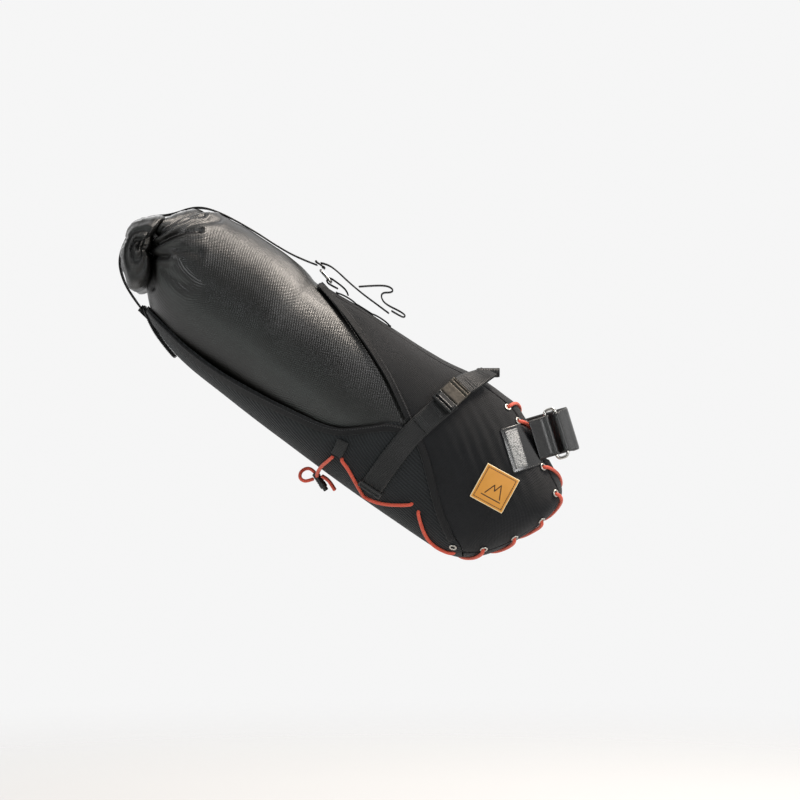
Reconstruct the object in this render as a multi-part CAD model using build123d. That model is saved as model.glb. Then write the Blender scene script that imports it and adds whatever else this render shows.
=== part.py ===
from build123d import *
from functools import lru_cache
import math
import os

# Bikepacking seat pack: a strap-on holster that holds a roll-top dry bag behind a bicycle's seatpost.
# Frame: +X forward, +Y to the rider's left, +Z up. The origin is the centre of the seatpost strap's loop.
# Most pieces are drawn in the bag's own frame: x runs rearwards along the bag, y to its right, z up.

os.makedirs("parts", exist_ok=True)

# ---------------------------------------------------------------- driving dimensions (mm, degrees)
BAG_TILT = 34.0              # the bag climbs this much towards the rear
POST_TILT = 17.0             # the seatpost leans back this much
POST_RADIUS = 13.6           # 27.2 mm seatpost
RAIL_RADIUS = 3.5            # 7 mm saddle rail
RAIL_SPREAD = 22.0           # each rail's distance from the middle
RAIL_AT = (-82.0, 67.0)      # where the rail loops sit, X and Z of the whole frame

SECTION_POWER = 2.2          # 2 is an ellipse, more is a fuller section
SKIN = 1.6                   # coated pack cloth with its lining
BELLY_SKIN = 2.0             # the ribbed belly cloth is heavier
BINDING = 1.2                # folded binding tape on an edge
CLEARANCE = 0.3              # between pieces of different bodies
SEWN_GAP = 0.1               # between pieces sewn face to face
WEBBING = 1.6                # webbing thickness
CORD = 4.0                   # shock cord diameter

# station along the bag, top, bottom, half width: the holster's outer face
HOLSTER = [
    (-43, -64, -86, 20), (-40, -56, -99, 31), (-34, -49, -115, 38), (-18, -39, -149, 46),
    (0, -30, -171, 52), (20, -20, -184, 56), (40, -10, -189, 60), (66, -1, -189.5, 63),
    (107, 0, -189, 68), (160, -7, -188, 73), (220, -9, -186, 77), (260, -9.5, -184, 80),
    (312, -12, -181, 82), (340, -12, -179, 83), (380, -12, -176, 84), (405, -12, -172.5, 84),
    (440, -12, -162, 84), (466, -13, -147, 84), (476, -14, -138, 83),
]
# the same for the dry bag, filled
DRY_BAG = [
    (48, -70, -120, 30), (56, -45, -150, 47), (75, -25, -172, 57), (107, -16, -182, 63),
    (160, -14.8, -180, 69), (220, -14.8, -177, 73.5), (260, -14.8, -175, 76.5), (312, -14.9, -171.4, 78.8),
    (325, -14.6, -170.4, 79.6), (336, -11.5, -169.8, 80.3), (350, -8.8, -169.5, 80.8), (380, -6.8, -169.4, 81),
    (420, -7.3, -166, 81.5), (440, -9.5, -158.5, 82), (464, -13, -143.5, 82), (476, -18.5, -131, 81),
    (486, -25, -112, 80), (494, -34, -94, 78), (500, -44, -76, 76),
]
NOSE_BAND = 27.0             # half width of the strip that closes the nose and the top
NOSE_SPLIT = -5.0            # station where the nose strip meets the top flap
HINGE_STATION = 405.0        # where the belly's tail folds down

# seen from the side: edges of the holster's cloth panels, station and height
FLAP_EDGE = [(330, -4), (322, -12), (260, -32.5), (205, -55), (152, -86)]
WING_EDGE = [(152, -86), (127, -97), (92, -128), (57, -159), (22, -171), (0, -200)]
BELLY_EDGE = [(482, -141), (466, -146), (448, -149), (400, -157), (360, -158.5), (307, -155), (257, -148),
              (232, -144), (208, -136), (182, -115), (155, -93), (127, -97)]
FLAP_BINDING_WIDTH = 7.0
BELLY_BINDING_WIDTH = 9.0

# lacing eyelets: angles about a point inside the nose, seen from the side
NOSE_CENTRE = (60.0, -95.0)
EYELET_ANGLES = [86, 99, 142, 160, 180, 202, 226, 249]
EYELET_OFFSET = 32.0         # from the middle plane
EYELET_OUTER = 4.4
EYELET_BORE = 2.4
EYELET_THICK = 1.0
EYELET_LIFT = 0.5            # a flat ring stands this far off the curved cloth
SEAT_DEPTH = 6.0             # how deep the room over a pressed eyelet is cut

LACE_GAP = 1.0               # between the lacing and the eyelets

LABEL_AT = (28.6, -94.6)
LABEL_SIZE = 42.0
LABEL_THICK = 1.6
LABEL_TURN = 5.0
LABEL_LIFT = 0.5             # the panel bows a little under the badge

STRAP_WIDTH = 25.0
RAIL_STRAP = [(143, -176), (143, -140), (142, -105), (127, -42), (122, -22), (108, 12)]
RAIL_STRAP_TOP = -48.0       # height where the strap enters the buckle
RAIL_FOLD_LENGTH = 36.0      # doubled end of the strap below the buckle
SLIDER_AT = (143.0, -170.0)
BUCKLE_AT = (125.0, -34.0)
BUCKLE_WIDTH = 28.0
PLATE_LENGTH = 24.0
PLATE_THICK = 5.6
SOCKET_LENGTH = 13.0
TONGUE_LENGTH = 9.0
TONGUE_WIDTH = 19.0
TONGUE_THICK = 2.6

POST_STRAP_WIDTH = 50.0
RING_HEIGHT = 60.0
RING_WIDTH = 16.5
RING_WIRE = 1.8
RING_AT = (-6.0, -20.5)      # ahead of the post's axis, and to its left
RING_TURN = 7.0              # the ring's plane turns in towards the post
RING_CORNER = 4.6
RING_PLAY = 0.25             # between the ring's wire and the webbing looped on it
PATCH_AT = (24.8, -34.8)
LOOP_HALF = 23.2             # the webbing gathers a little inside the ring
BASE_REACH = (-24.0, 12.0, 26.0)     # the base patch: rear, front and half length
PATCH_REACH = (-20.0, -6.0, 20.0)    # the hook patch on it
BASE_FACE = 1.3              # the sewn base patch's outer face, above the side panel
PATCH_FACE = 2.6             # the hook patch's outer face

STRAP_PATH = [(470, -150), (489, -143.5), (507, -133.5), (523, -119), (531, -97), (533.5, -70), (522, -56.5),
              (505, -43.5), (490, -20), (468, -8.3), (420, -3.6), (376, -2.6), (336, 2)]
STRAP_RADII = [4, 12, 14, 20, 9, 10, 18, 20, 60, 120, 60]
RETURN_PATH = [(331, 8.5), (315, 10), (292, 6), (272, 4), (236, 3)]
RETURN_RADII = [25, 60, 60]
TAIL_PATH = [(236, 6.5), (221, 7.5), (219, 12), (246, 9.5), (257, 17), (247, 26), (257, 27), (282, 8.5)]
TAIL_RADII = [1.6, 1.6, 5, 6, 1.8, 5]

ANCHOR_BORE = 2.0            # round the top ring's front bar
ANCHOR_OUTLINE = [(287, -9), (287, -1.5), (293, 0.8), (312, 0.4), (318, -3), (316, -9.4)]
ANCHOR_HALF = 11.0
TOP_RING_AT = (311.0, -4.6)
TOP_RING_SIZE = (17.0, 30.0)         # along and across the bag
TOP_RING_WIRE = 1.5
TOP_RING_TILT = -14.0
CHAIN_ENDS = (226.0, 300.0)
CHAIN_HALF = 10.0
CHAIN_THICK = 1.4
HOOK_AT = (333.5, 4.9)
HOOK_SIZE = (11.0, 26.0, 2.0)

ROLL_OUTLINE = [(504, -50.5), (520, -60.5), (529, -71), (526.5, -97), (518.5, -116.5), (503.5, -130),
                (487.5, -139), (482.5, -135.5), (502.5, -76)]
ROLL_HALF = 92.0             # half the width of the rolled mouth
CLOSURE_AT = (516.0, -88.0)
CLOSURE_STRIP = (2.0, 149.0, 25.0)   # the stiff strip in the mouth: thickness, length, height
CLOSURE_PLAY = 0.3           # round the strip

GUIDE_AT = (197.0, -155.0)   # webbing loop that leads the shock cord
GUIDE_SIZE = (20.0, 14.0, 2.2)
CORD_GAP = CORD / 2 + 0.6    # from the belly's face to the cord's middle
CORD_REAR = [(188, -163), (178, -166), (168, -171), (158, -176), (149, -180.5)]
CORD_FRONT = [(143, -183.5), (130, -181), (117, -175.5), (105, -168), (95, -161)]
CORD_NOSE = [(84, -164), (76, -171), (66, -178.5), (54, -184), (40, -185), (24, -181)]
# the cord near the lock: on the belly's right side, then clear of it, and the free loop and ends
LOCK_CORD_SIDE = [(198, -165), (200.5, -174), (202.5, -180.5)]
LOCK_CORD_END = [(203, 15.5, -191.8), (201, 5.2, -196.2)]
LOOP_PATH = [(205.6, -1.8, -194.4), (211.5, -3.5, -193.0), (217, -3.5, -197.0), (219, -1.5, -203.5),
             (216, 1.5, -209.0), (210, 3, -209.5), (205.5, 2.4, -205.5), (202.6, 1.2, -201.4)]
TAIL_ENDS = [(196, 6.6, -193.0), (189.5, 7.2, -192.6), (182.5, 7.8, -194.6), (175.5, 8.6, -198.0)]

LOCK_RADIUS = 4.2
LOCK_LENGTH = 20.0
LOCK_TOP = (205.0, -194.5)   # rear end of the cord lock
LOCK_LEAN = 23.0             # the lock's nose dips this much below the bag's axis
PLUNGER_RADIUS = 2.9
LOCK_WALL = 2.0
PLUNGER_LENGTH = 13.0
PLUNGER_TRAVEL = 4.0         # how far the plunger stands out of the barrel

# ---------------------------------------------------------------- frames
BAG_COS, BAG_SIN = math.cos(math.radians(BAG_TILT)), math.sin(math.radians(BAG_TILT))
BAG = Plane(origin=(0, 0, 0), x_dir=(-BAG_COS, 0, BAG_SIN), z_dir=(BAG_SIN, 0, BAG_COS))
POST_COS, POST_SIN = math.cos(math.radians(POST_TILT)), math.sin(math.radians(POST_TILT))
POST = Plane(origin=(0, 0, 0), x_dir=(POST_COS, 0, POST_SIN), z_dir=(-POST_SIN, 0, POST_COS))


def save(shape, node, frame=BAG):
    """Place a piece drawn in its own frame into the whole frame and write it."""
    placed = frame.location * shape
    export_step(placed, f"parts/{node}.step")
    return placed


def mirrored(shape):
    """The same piece on the bag's left side."""
    return mirror(shape, about=Plane.XZ)


# ---------------------------------------------------------------- the bag's rounded skin
def between(stations, u):
    """Top, bottom and half width at station u, on straight lines between the listed stations."""
    for low, high in zip(stations, stations[1:]):
        if u <= high[0]:
            share = (u - low[0]) / (high[0] - low[0])
            return [a + (b - a) * share for a, b in zip(low[1:], high[1:])]
    return stations[-1][1:]


def section(u, top, bottom, half, grow):
    """One full section across the bag, a rounded closed curve."""
    half = half + grow
    height = (top - bottom) / 2 + grow
    points = []
    for n in range(20):
        angle = 2 * math.pi * n / 20
        x = half * math.copysign(abs(math.cos(angle)) ** (2 / SECTION_POWER), math.cos(angle))
        y = height * math.copysign(abs(math.sin(angle)) ** (2 / SECTION_POWER), math.sin(angle))
        points.append((x, y))
    place = Plane(origin=(u, 0, (top + bottom) / 2), x_dir=(0, 1, 0), z_dir=(1, 0, 0))
    return place * make_face(Spline(*points, periodic=True))


def skin(stations, grow):
    """Closed body through all the sections, grown outwards evenly."""
    first = stations[0][0] - grow
    faces = [section(first if n == 0 else s[0], s[1], s[2], s[3], grow) for n, s in enumerate(stations)]
    return loft(faces)


@lru_cache(maxsize=None)
def holster_skin(grow):
    """The holster's outer body, grown outwards."""
    return skin(HOLSTER, grow)


@lru_cache(maxsize=None)
def layer(inner, outer):
    """The space between two grown holster bodies: one layer of cloth."""
    return holster_skin(outer) - holster_skin(inner)


def side_region(edge, *closing):
    """A block that cuts the bag as seen from the side, along a smooth edge and straight closing lines."""
    outline = Curve() + [Spline(*edge), Polyline(edge[-1], *closing, edge[0])]
    return extrude(Plane.XZ * make_face(outline), amount=150, both=True)


def side_polygon(*points):
    """The same with straight sides only."""
    return extrude(Plane.XZ * make_face(Polyline(*points, close=True)), amount=150, both=True)


def middle_band(half):
    """Everything within half of the bag's middle plane."""
    return Box(1400, 2 * half, 900)


def right_half():
    return Pos(0, 200, 0) * Box(1400, 400, 900)


def holster_level(u, v, w):
    """Below 1 inside the holster's outer face, 1 on it; it climbs steeply past the nose's flat front."""
    ahead = max(0.0, HOLSTER[0][0] - u)
    top, bottom, half = between(HOLSTER, u + ahead)
    middle, height = (top + bottom) / 2, (top - bottom) / 2
    return abs(v / half) ** SECTION_POWER + abs((w - middle) / height) ** SECTION_POWER + ahead


def side_depth(u, w):
    """How far from the middle plane the holster's side lies at this station and height."""
    top, bottom, half = between(HOLSTER, u)
    middle, height = (top + bottom) / 2, (top - bottom) / 2
    return half * (1 - abs((w - middle) / height) ** SECTION_POWER) ** (1 / SECTION_POWER)


def outward(u, v, w):
    """Unit normal of the holster's face."""
    step = 0.5
    n = Vector(*[
        (holster_level(u + a, v + b, w + c) - holster_level(u - a, v - b, w - c))
        for a, b, c in ((step, 0, 0), (0, step, 0), (0, 0, step))
    ])
    return n.normalized()


def on_side(u, w, gap=0.0, heading=(0, 0, 1)):
    """A plane lying on the right side of the holster: z outwards, x along the heading."""
    v = side_depth(u, w)
    normal = outward(u, v, w)
    along = Vector(*heading) - normal * Vector(*heading).dot(normal)
    return Plane(origin=Vector(u, v, w) + normal * gap, x_dir=along.normalized(), z_dir=normal)


def on_nose(angle, v, gap=0.0):
    """The point of the nose's face met by a ray from the nose centre, at distance v from the middle."""
    du, dw = math.cos(math.radians(angle)), math.sin(math.radians(angle))
    low, high = 0.0, 140.0
    for _ in range(40):
        mid = (low + high) / 2
        u, w = NOSE_CENTRE[0] + mid * du, NOSE_CENTRE[1] + mid * dw
        low, high = (mid, high) if holster_level(u, v, w) < 1 else (low, mid)
    u, w = NOSE_CENTRE[0] + low * du, NOSE_CENTRE[1] + low * dw
    return Vector(u, v, w) + outward(u, v, w) * gap


# ---------------------------------------------------------------- holster cloth
FRONT = side_region(FLAP_EDGE, *WING_EDGE[1:], (-80, -260), (-80, 60), (330, 60))
BELLY = side_region(BELLY_EDGE, *WING_EDGE[2:], (482, -200))


def holster_front():
    """The three front pieces share one layer: a strip over nose and top between two side panels."""
    cloth = layer(-SKIN, 0) & FRONT
    band = cloth & middle_band(NOSE_BAND)
    ahead = side_polygon((-80, -260), (-80, 60), (NOSE_SPLIT, 60), (NOSE_SPLIT, -95), (330, -95), (330, -260))
    nose = band & ahead
    top = band - ahead
    side = (cloth & right_half()) - middle_band(NOSE_BAND + SEWN_GAP)
    return nose, top, pressed(side)


def belly():
    """The ribbed belly: a main panel, and its tail, which folds down to let the dry bag out."""
    cloth = layer(-BELLY_SKIN, 0) & BELLY
    front_block = side_polygon((-80, -260), (-80, 0), (HINGE_STATION - 0.4, 0), (HINGE_STATION - 0.4, -260))
    rear_block = side_polygon((HINGE_STATION, -260), (HINGE_STATION, 0), (600, 0), (600, -260))
    return cloth & front_block, cloth & rear_block


def shifted(edge, du, dw):
    return [(u + du, w + dw) for u, w in edge]


def edge_tape(edge, du, dw):
    """Binding tape on the outer face along a panel's edge."""
    inside = shifted(edge, du, dw)
    outline = Curve() + [
        Spline(*edge), Polyline(edge[-1], inside[-1]), Spline(*reversed(inside)), Polyline(inside[0], edge[0]),
    ]
    strip = extrude(Plane.XZ * make_face(outline), amount=150, both=True)
    return layer(SEWN_GAP, BINDING) & strip


def stiffener_plate():
    """Plastic sheet inside the belly that keeps the pack from sagging."""
    inner = -BELLY_SKIN - SEWN_GAP
    sheet = layer(inner - 1.2, inner)
    return sheet & middle_band(34) & side_polygon((60, -120), (325, -120), (325, -260), (60, -260))


# ---------------------------------------------------------------- nose lacing and label
def eyelet(angle, side):
    """A pressed metal ring set in the side panel."""
    spot = on_nose(angle, EYELET_OFFSET, EYELET_LIFT)
    normal = outward(spot.X, spot.Y, spot.Z)
    washer = Cylinder(EYELET_OUTER, EYELET_THICK) - Cylinder(EYELET_BORE, EYELET_THICK)
    ring = Plane(origin=spot + normal * EYELET_THICK / 2, z_dir=normal).location * washer
    return ring if side > 0 else mirrored(ring)


def pressed(cloth, grow=0.0):
    """Cloth on the right side, flattened under each eyelet, or opened further round it."""
    for angle in EYELET_ANGLES:
        spot = on_nose(angle, EYELET_OFFSET, EYELET_LIFT)
        normal = outward(spot.X, spot.Y, spot.Z)
        start = 0.15 + grow * 8
        seat = Plane(origin=spot + normal * (SEAT_DEPTH / 2 - start), z_dir=normal)
        cloth = cloth - seat.location * Cylinder(EYELET_OUTER + 0.3 + grow, SEAT_DEPTH)
    return cloth


def tube(points, radius, fillets=None):
    """A round cord along straight runs joined by tangent arcs."""
    points = [Vector(*p) for p in points]
    radii = []
    for a, b, c in zip(points, points[1:], points[2:]):
        turn = (b - a).get_angle(c - b)
        run = min((b - a).length, (c - b).length)
        radii.append(0.45 * run / math.tan(math.radians(turn) / 2))
    path = FilletPolyline(*points, radius=fillets or radii)
    start = Plane(origin=path @ 0, z_dir=path % 0)
    body = sweep(start * Circle(radius), path=path)
    expected = math.pi * radius ** 2 * path.length
    print("cord radii", [round(r, 1) for r in radii], "length", round(path.length, 1),
          "volume ratio", round(body.volume / expected, 3))
    return body


def lace(first, second):
    """One diagonal of the lacing, from a right eyelet over the nose to the next left one."""
    lift = CORD / 2 + EYELET_LIFT + EYELET_THICK + LACE_GAP
    share = lambda t: first + (second - first) * t
    route = [on_nose(share(0.06), EYELET_OFFSET - 1, lift)]
    route += [on_nose(share(t), v, lift + bow) for t, v, bow in
              ((0.25, 18, 1.4), (0.42, 6, 2.4), (0.58, -6, 2.4), (0.75, -18, 1.4))]
    route += [on_nose(share(0.94), 1 - EYELET_OFFSET, lift)]
    return tube(route, CORD / 2)


def label_patch():
    """Leather badge sewn flat to the right side panel."""
    place = on_side(*LABEL_AT, gap=LABEL_LIFT + LABEL_THICK / 2)
    return place.location * Rot(0, 0, LABEL_TURN) * Box(LABEL_SIZE, LABEL_SIZE, LABEL_THICK)


# ---------------------------------------------------------------- rail straps (drawn on the right)
def strap_region(low, high):
    """The strip the rail strap covers, seen from the side, between two heights."""
    half = STRAP_WIDTH / 2
    rear = [(u + half, w) for u, w in RAIL_STRAP]
    front = [(u - half, w) for u, w in RAIL_STRAP]
    strip = side_polygon(*rear, *reversed(front))
    return strip & side_polygon((0, low), (300, low), (300, high), (0, high)) & right_half()


def rail_strap():
    """Webbing that lies on the holster's side, from the belly up to the buckle."""
    return layer(BINDING + 0.1, BINDING + 0.1 + WEBBING) & strap_region(-176, RAIL_STRAP_TOP)


def rail_strap_fold():
    """The strap's loose end, doubled back below the buckle."""
    inner = BINDING + 0.2 + WEBBING
    return layer(inner, inner + WEBBING) & strap_region(RAIL_STRAP_TOP - RAIL_FOLD_LENGTH, RAIL_STRAP_TOP)


def rail_slider():
    """Bar that anchors the strap's lower end to the belly."""
    place = on_side(*SLIDER_AT, gap=BINDING + 2 * WEBBING + 1.4)
    frame = Box(9, STRAP_WIDTH + 4, 2.4) - Box(3.4, STRAP_WIDTH, 2.4)
    return place.location * frame


def buckle_frame():
    """x up the strap, y across it, z off the bag, at the middle of the buckle's plate."""
    heading = (-0.2, -0.5, 0.85)
    return on_side(*BUCKLE_AT, gap=BINDING + 2 * WEBBING + 3.2, heading=heading)


def buckle_socket():
    """Lower buckle half: a pocket for the tongue, and a bar that holds the strap."""
    start = -PLATE_LENGTH / 2 - 0.2
    block = Pos(start - SOCKET_LENGTH / 2, 0, 0) * Box(SOCKET_LENGTH, BUCKLE_WIDTH, PLATE_THICK + 0.8)
    block = fillet(block.edges().filter_by(Axis.Z), 2)
    pocket = Pos(start - TONGUE_LENGTH / 2 - 0.2, 0, 0) * Box(
        TONGUE_LENGTH + 0.6, TONGUE_WIDTH + 2 * CLEARANCE, TONGUE_THICK + 2 * CLEARANCE)
    return block - pocket


def buckle_plate():
    """Upper buckle half: a satin metal plate with a tongue that slides into the socket."""
    plate = Box(PLATE_LENGTH, BUCKLE_WIDTH - 1, PLATE_THICK)
    plate = fillet(plate.edges().filter_by(Axis.Z), 2)
    tongue = Pos(-PLATE_LENGTH / 2 - TONGUE_LENGTH / 2 + 0.5, 0, 0) * Box(
        TONGUE_LENGTH, TONGUE_WIDTH, TONGUE_THICK)
    return plate + tongue


def rail_in_bag():
    """The right rail loop's centre and direction in the bag's frame."""
    x, z = RAIL_AT
    centre = Vector(z * BAG_SIN - x * BAG_COS, RAIL_SPREAD, x * BAG_SIN + z * BAG_COS)
    return centre, Vector(-BAG_COS, 0, BAG_SIN)


def rail_loop():
    """Webbing sewn round the saddle rail, with the two plies that run down to the buckle plate."""
    centre, along = rail_in_bag()
    sleeve = Cylinder(RAIL_RADIUS + 0.1 + WEBBING, STRAP_WIDTH) - Cylinder(RAIL_RADIUS + 0.1, STRAP_WIDTH)
    sleeve = Plane(origin=centre, z_dir=along).location * sleeve
    frame = buckle_frame()
    low = frame.origin + frame.x_dir * (PLATE_LENGTH / 2 + 0.1)
    out = (frame.z_dir + Vector(0, 0.6, 0)).normalized()
    high = centre + out * (RAIL_RADIUS + 0.1 + WEBBING)
    lower = Plane(origin=low, x_dir=frame.y_dir, z_dir=frame.x_dir)
    run = (high - low).normalized()
    across = (along - run * along.dot(run)).normalized() * -1
    if across.dot(frame.y_dir) < 0:
        across = across * -1
    upper = Plane(origin=high - run * 1.0, x_dir=across, z_dir=run)
    ply = loft([lower * Rectangle(STRAP_WIDTH, 2 * WEBBING), upper * Rectangle(STRAP_WIDTH, 2 * WEBBING)])
    bore = Plane(origin=centre, z_dir=along).location * Cylinder(RAIL_RADIUS + 0.1, 3 * STRAP_WIDTH)
    return (sleeve + ply) - bore


# ---------------------------------------------------------------- seatpost strap (post frame)
def ply_2d(a, b, thick):
    """A straight ply between two points, as a flat outline."""
    a, b = Vector(*a), Vector(*b)
    middle, run = (a + b) / 2, b - a
    angle = math.degrees(math.atan2(run.Y, run.X))
    return Pos(middle.X, middle.Y) * Rot(0, 0, angle) * Rectangle(run.length, thick)


def ring_bars():
    """Centres of the ring's two long bars, across the post."""
    reach = RING_WIDTH / 2 - RING_WIRE
    dx, dy = reach * math.cos(math.radians(RING_TURN)), reach * math.sin(math.radians(RING_TURN))
    return (RING_AT[0] - dx, RING_AT[1] - dy), (RING_AT[0] + dx, RING_AT[1] + dy)


def seatpost_ring():
    """Steel oval ring that joins the strap's two halves."""
    reach = RING_WIDTH / 2 - RING_WIRE
    end = RING_HEIGHT / 2 - RING_WIRE
    path = FilletPolyline((reach, 0, -end), (reach, 0, end), (-reach, 0, end), (-reach, 0, -end),
                          radius=RING_CORNER, close=True)
    wire = sweep(Plane(origin=path @ 0, z_dir=path % 0) * Circle(RING_WIRE), path=path)
    return Pos(RING_AT[0], RING_AT[1], 0) * Rot(0, 0, RING_TURN) * wire


def seatpost_strap():
    """Webbing round the post, looped on the ring's front bar and sewn to the holster's left side."""
    inner = POST_RADIUS + 0.1
    wrap = Circle(inner + WEBBING) - Circle(inner)
    wedge = make_face(Polyline((0, 0), (-12, -60), (80, -60), (80, 60), (-12, 60), close=True))
    wrap = wrap & wedge
    front = ring_bars()[1]
    bore = RING_WIRE + RING_PLAY
    loop = Pos(*front) * (Circle(bore + WEBBING) - Circle(bore))
    bridge = ply_2d((front[0] + 1.6, front[1] + bore + 0.8), (front[0] + 4.2, front[1] + 4.4), WEBBING)
    lead = inner + WEBBING / 2
    side = ply_2d((-2.5, lead + 0.1), (-39, 36.2), WEBBING)
    flat = wrap + side - Circle(inner)
    folded = loop + bridge - Circle(inner) - Pos(*front) * Circle(bore)
    strap = extrude(flat, amount=POST_STRAP_WIDTH / 2, both=True) + extrude(folded, amount=LOOP_HALF, both=True)
    return off_holster(strap, BASE_FACE)


def off_holster(piece, gap):
    """Trim a piece drawn in the post's frame to end on the holster's face."""
    bag = (POST.location.inverse() * BAG.location) * holster_skin(gap)
    return (piece - bag).solids().sort_by(SortBy.VOLUME)[-1]


def seatpost_tab():
    """Short webbing from the right side panel, looped on the ring's rear bar."""
    rear = ring_bars()[0]
    bore = RING_WIRE + RING_PLAY
    loop = Pos(*rear) * (Circle(bore + WEBBING) - Circle(bore))
    side = ply_2d((rear[0] - 2, rear[1] - 1.6), (-39, -36.2), WEBBING)
    flat = loop + (side - Pos(*rear) * Circle(bore))
    return off_holster(extrude(flat, amount=LOOP_HALF, both=True), PATCH_FACE)


def strap_base(inner, outer, rear, front, half):
    """A sewn patch on the side panel under the seatpost strap, square to the post."""
    du, dw = math.cos(math.radians(90 - BAG_TILT - POST_TILT)), math.sin(math.radians(90 - BAG_TILT - POST_TILT))
    corners = []
    for along, across in ((half, rear), (half, front), (-half, front), (-half, rear)):
        corners.append((PATCH_AT[0] + along * du + across * dw, PATCH_AT[1] + along * dw - across * du))
    return pressed(layer(inner, outer) & side_polygon(*corners) & right_half(), grow=0.3)


# ---------------------------------------------------------------- top hardware and compression strap
def band(path, radii, width, thick):
    """Webbing that follows a path in the bag's middle plane."""
    line = FilletPolyline(*path, radius=radii)
    return extrude(Plane.XZ * trace(line, thick), amount=width / 2, both=True)


def daisy_chain():
    """Webbing sewn along the top with two loops."""
    start, end = CHAIN_ENDS
    strip = layer(SEWN_GAP, SEWN_GAP + CHAIN_THICK) & side_polygon((start, -60), (start, 30), (end, 30), (end, -60))
    return strip & middle_band(CHAIN_HALF)


def anchor_tab():
    """Folded webbing block that holds the top ring."""
    ring_bar = Pos(TOP_RING_AT[0], 0, TOP_RING_AT[1])
    bore = ring_bar * Rot(90, 0, 0) * Cylinder(ANCHOR_BORE, 60)
    return (side_polygon(*ANCHOR_OUTLINE) & middle_band(ANCHOR_HALF) & above_top(CHAIN_THICK + 0.2)) - bore


def above_top(gap):
    """Everything outside the holster grown by a gap."""
    return Pos(260, 0, 0) * Box(400, 60, 80) - holster_skin(gap)


def top_ring():
    """Steel rectangular ring that the strap's hook catches."""
    length, half = TOP_RING_SIZE[0], TOP_RING_SIZE[1] / 2
    corners = (0, -half, 0), (length, -half, 0), (length, half, 0), (0, half, 0)
    path = FilletPolyline(*corners, radius=2 * TOP_RING_WIRE, close=True)
    ring = sweep(Plane(origin=path @ 0, z_dir=path % 0) * Circle(TOP_RING_WIRE), path=path)
    return Pos(TOP_RING_AT[0], 0, TOP_RING_AT[1]) * Rot(0, TOP_RING_TILT, 0) * ring


def strap_hook():
    """Flat aluminium hook: two slots for the strap, and a lip over the ring's rear bar."""
    length, width, thick = HOOK_SIZE
    plate = Box(*HOOK_SIZE)
    lip = Pos(-length / 2 - 1.4, 0, -0.7) * Box(3.4, 20, thick + 1.4)
    slot = Pos(1, 0, 0) * Box(3, width - 2, 2 * thick)
    return Pos(HOOK_AT[0], 0, HOOK_AT[1]) * (plate + lip - slot)


def compression_strap():
    """Webbing from the tail up over the rolled end and along the dry bag's top."""
    return band(STRAP_PATH, STRAP_RADII, STRAP_WIDTH, WEBBING)


def tail_tab():
    """Doubled webbing sewn under the tail."""
    hinge_gap = 4.0
    start = HINGE_STATION + hinge_gap
    strip = layer(BINDING + 0.1, BINDING + 0.1 + 2 * WEBBING)
    return strip & side_polygon((start, -120), (468, -120), (468, -220), (start, -220)) & middle_band(12.5)


# ---------------------------------------------------------------- dry bag
def roll_closure():
    """The dry bag's mouth, rolled up and pressed flat."""
    roll = extrude(Plane.XZ * make_face(Polyline(*ROLL_OUTLINE, close=True)), amount=ROLL_HALF, both=True)
    room = [size + 2 * CLOSURE_PLAY for size in CLOSURE_STRIP]
    return roll - Pos(CLOSURE_AT[0], 0, CLOSURE_AT[1]) * Box(*room)


def closure_stiffener():
    """Plastic strip sewn in the mouth, at the middle of the roll."""
    return Pos(CLOSURE_AT[0], 0, CLOSURE_AT[1]) * Box(*CLOSURE_STRIP)


# ---------------------------------------------------------------- shock cord and lock
def lock_axis():
    lean = math.radians(LOCK_LEAN)
    return Vector(-math.cos(lean), 0, -math.sin(lean))


def lock_frame(distance):
    start = Vector(LOCK_TOP[0], 0, LOCK_TOP[1])
    return Plane(origin=start + lock_axis() * distance, z_dir=lock_axis())


def cord_lock():
    """Blind barrel, open at its nose, with a plunger that a spring pushes out."""
    middle = lock_frame(LOCK_LENGTH / 2).location
    bore = Pos(0, 0, LOCK_WALL) * Cylinder(PLUNGER_RADIUS + CLEARANCE, LOCK_LENGTH)
    barrel = Cylinder(LOCK_RADIUS, LOCK_LENGTH) - bore
    out = LOCK_LENGTH / 2 + PLUNGER_TRAVEL
    plunger = Pos(0, 0, out - PLUNGER_LENGTH / 2) * Cylinder(PLUNGER_RADIUS, PLUNGER_LENGTH)
    spring_length = LOCK_LENGTH / 2 - LOCK_WALL + out - PLUNGER_LENGTH - 0.2
    coil = Cylinder(PLUNGER_RADIUS - 0.5, spring_length) - Cylinder(PLUNGER_RADIUS - 1.3, spring_length)
    spring = Pos(0, 0, LOCK_WALL - LOCK_LENGTH / 2 + 0.1 + spring_length / 2) * coil
    return middle * barrel, middle * plunger, middle * spring


def cord_guide():
    """Folded webbing loop on the belly's edge that leads the shock cord."""
    place = on_side(*GUIDE_AT, gap=BINDING + 1.4)
    return place.location * Box(*GUIDE_SIZE)


def side_point(u, w, gap):
    v = side_depth(u, w)
    return Vector(u, v, w) + outward(u, v, w) * gap


def shock_cord(points):
    """Cord hugging the belly's right side between two holes."""
    return tube([side_point(u, w, CORD_GAP) for u, w in points], CORD / 2)


def lock_cord():
    """Cord from the right guide round the belly and under it to the lock."""
    route = [side_point(u, w, CORD_GAP) for u, w in LOCK_CORD_SIDE]
    return tube(route + LOCK_CORD_END, CORD / 2)


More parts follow.
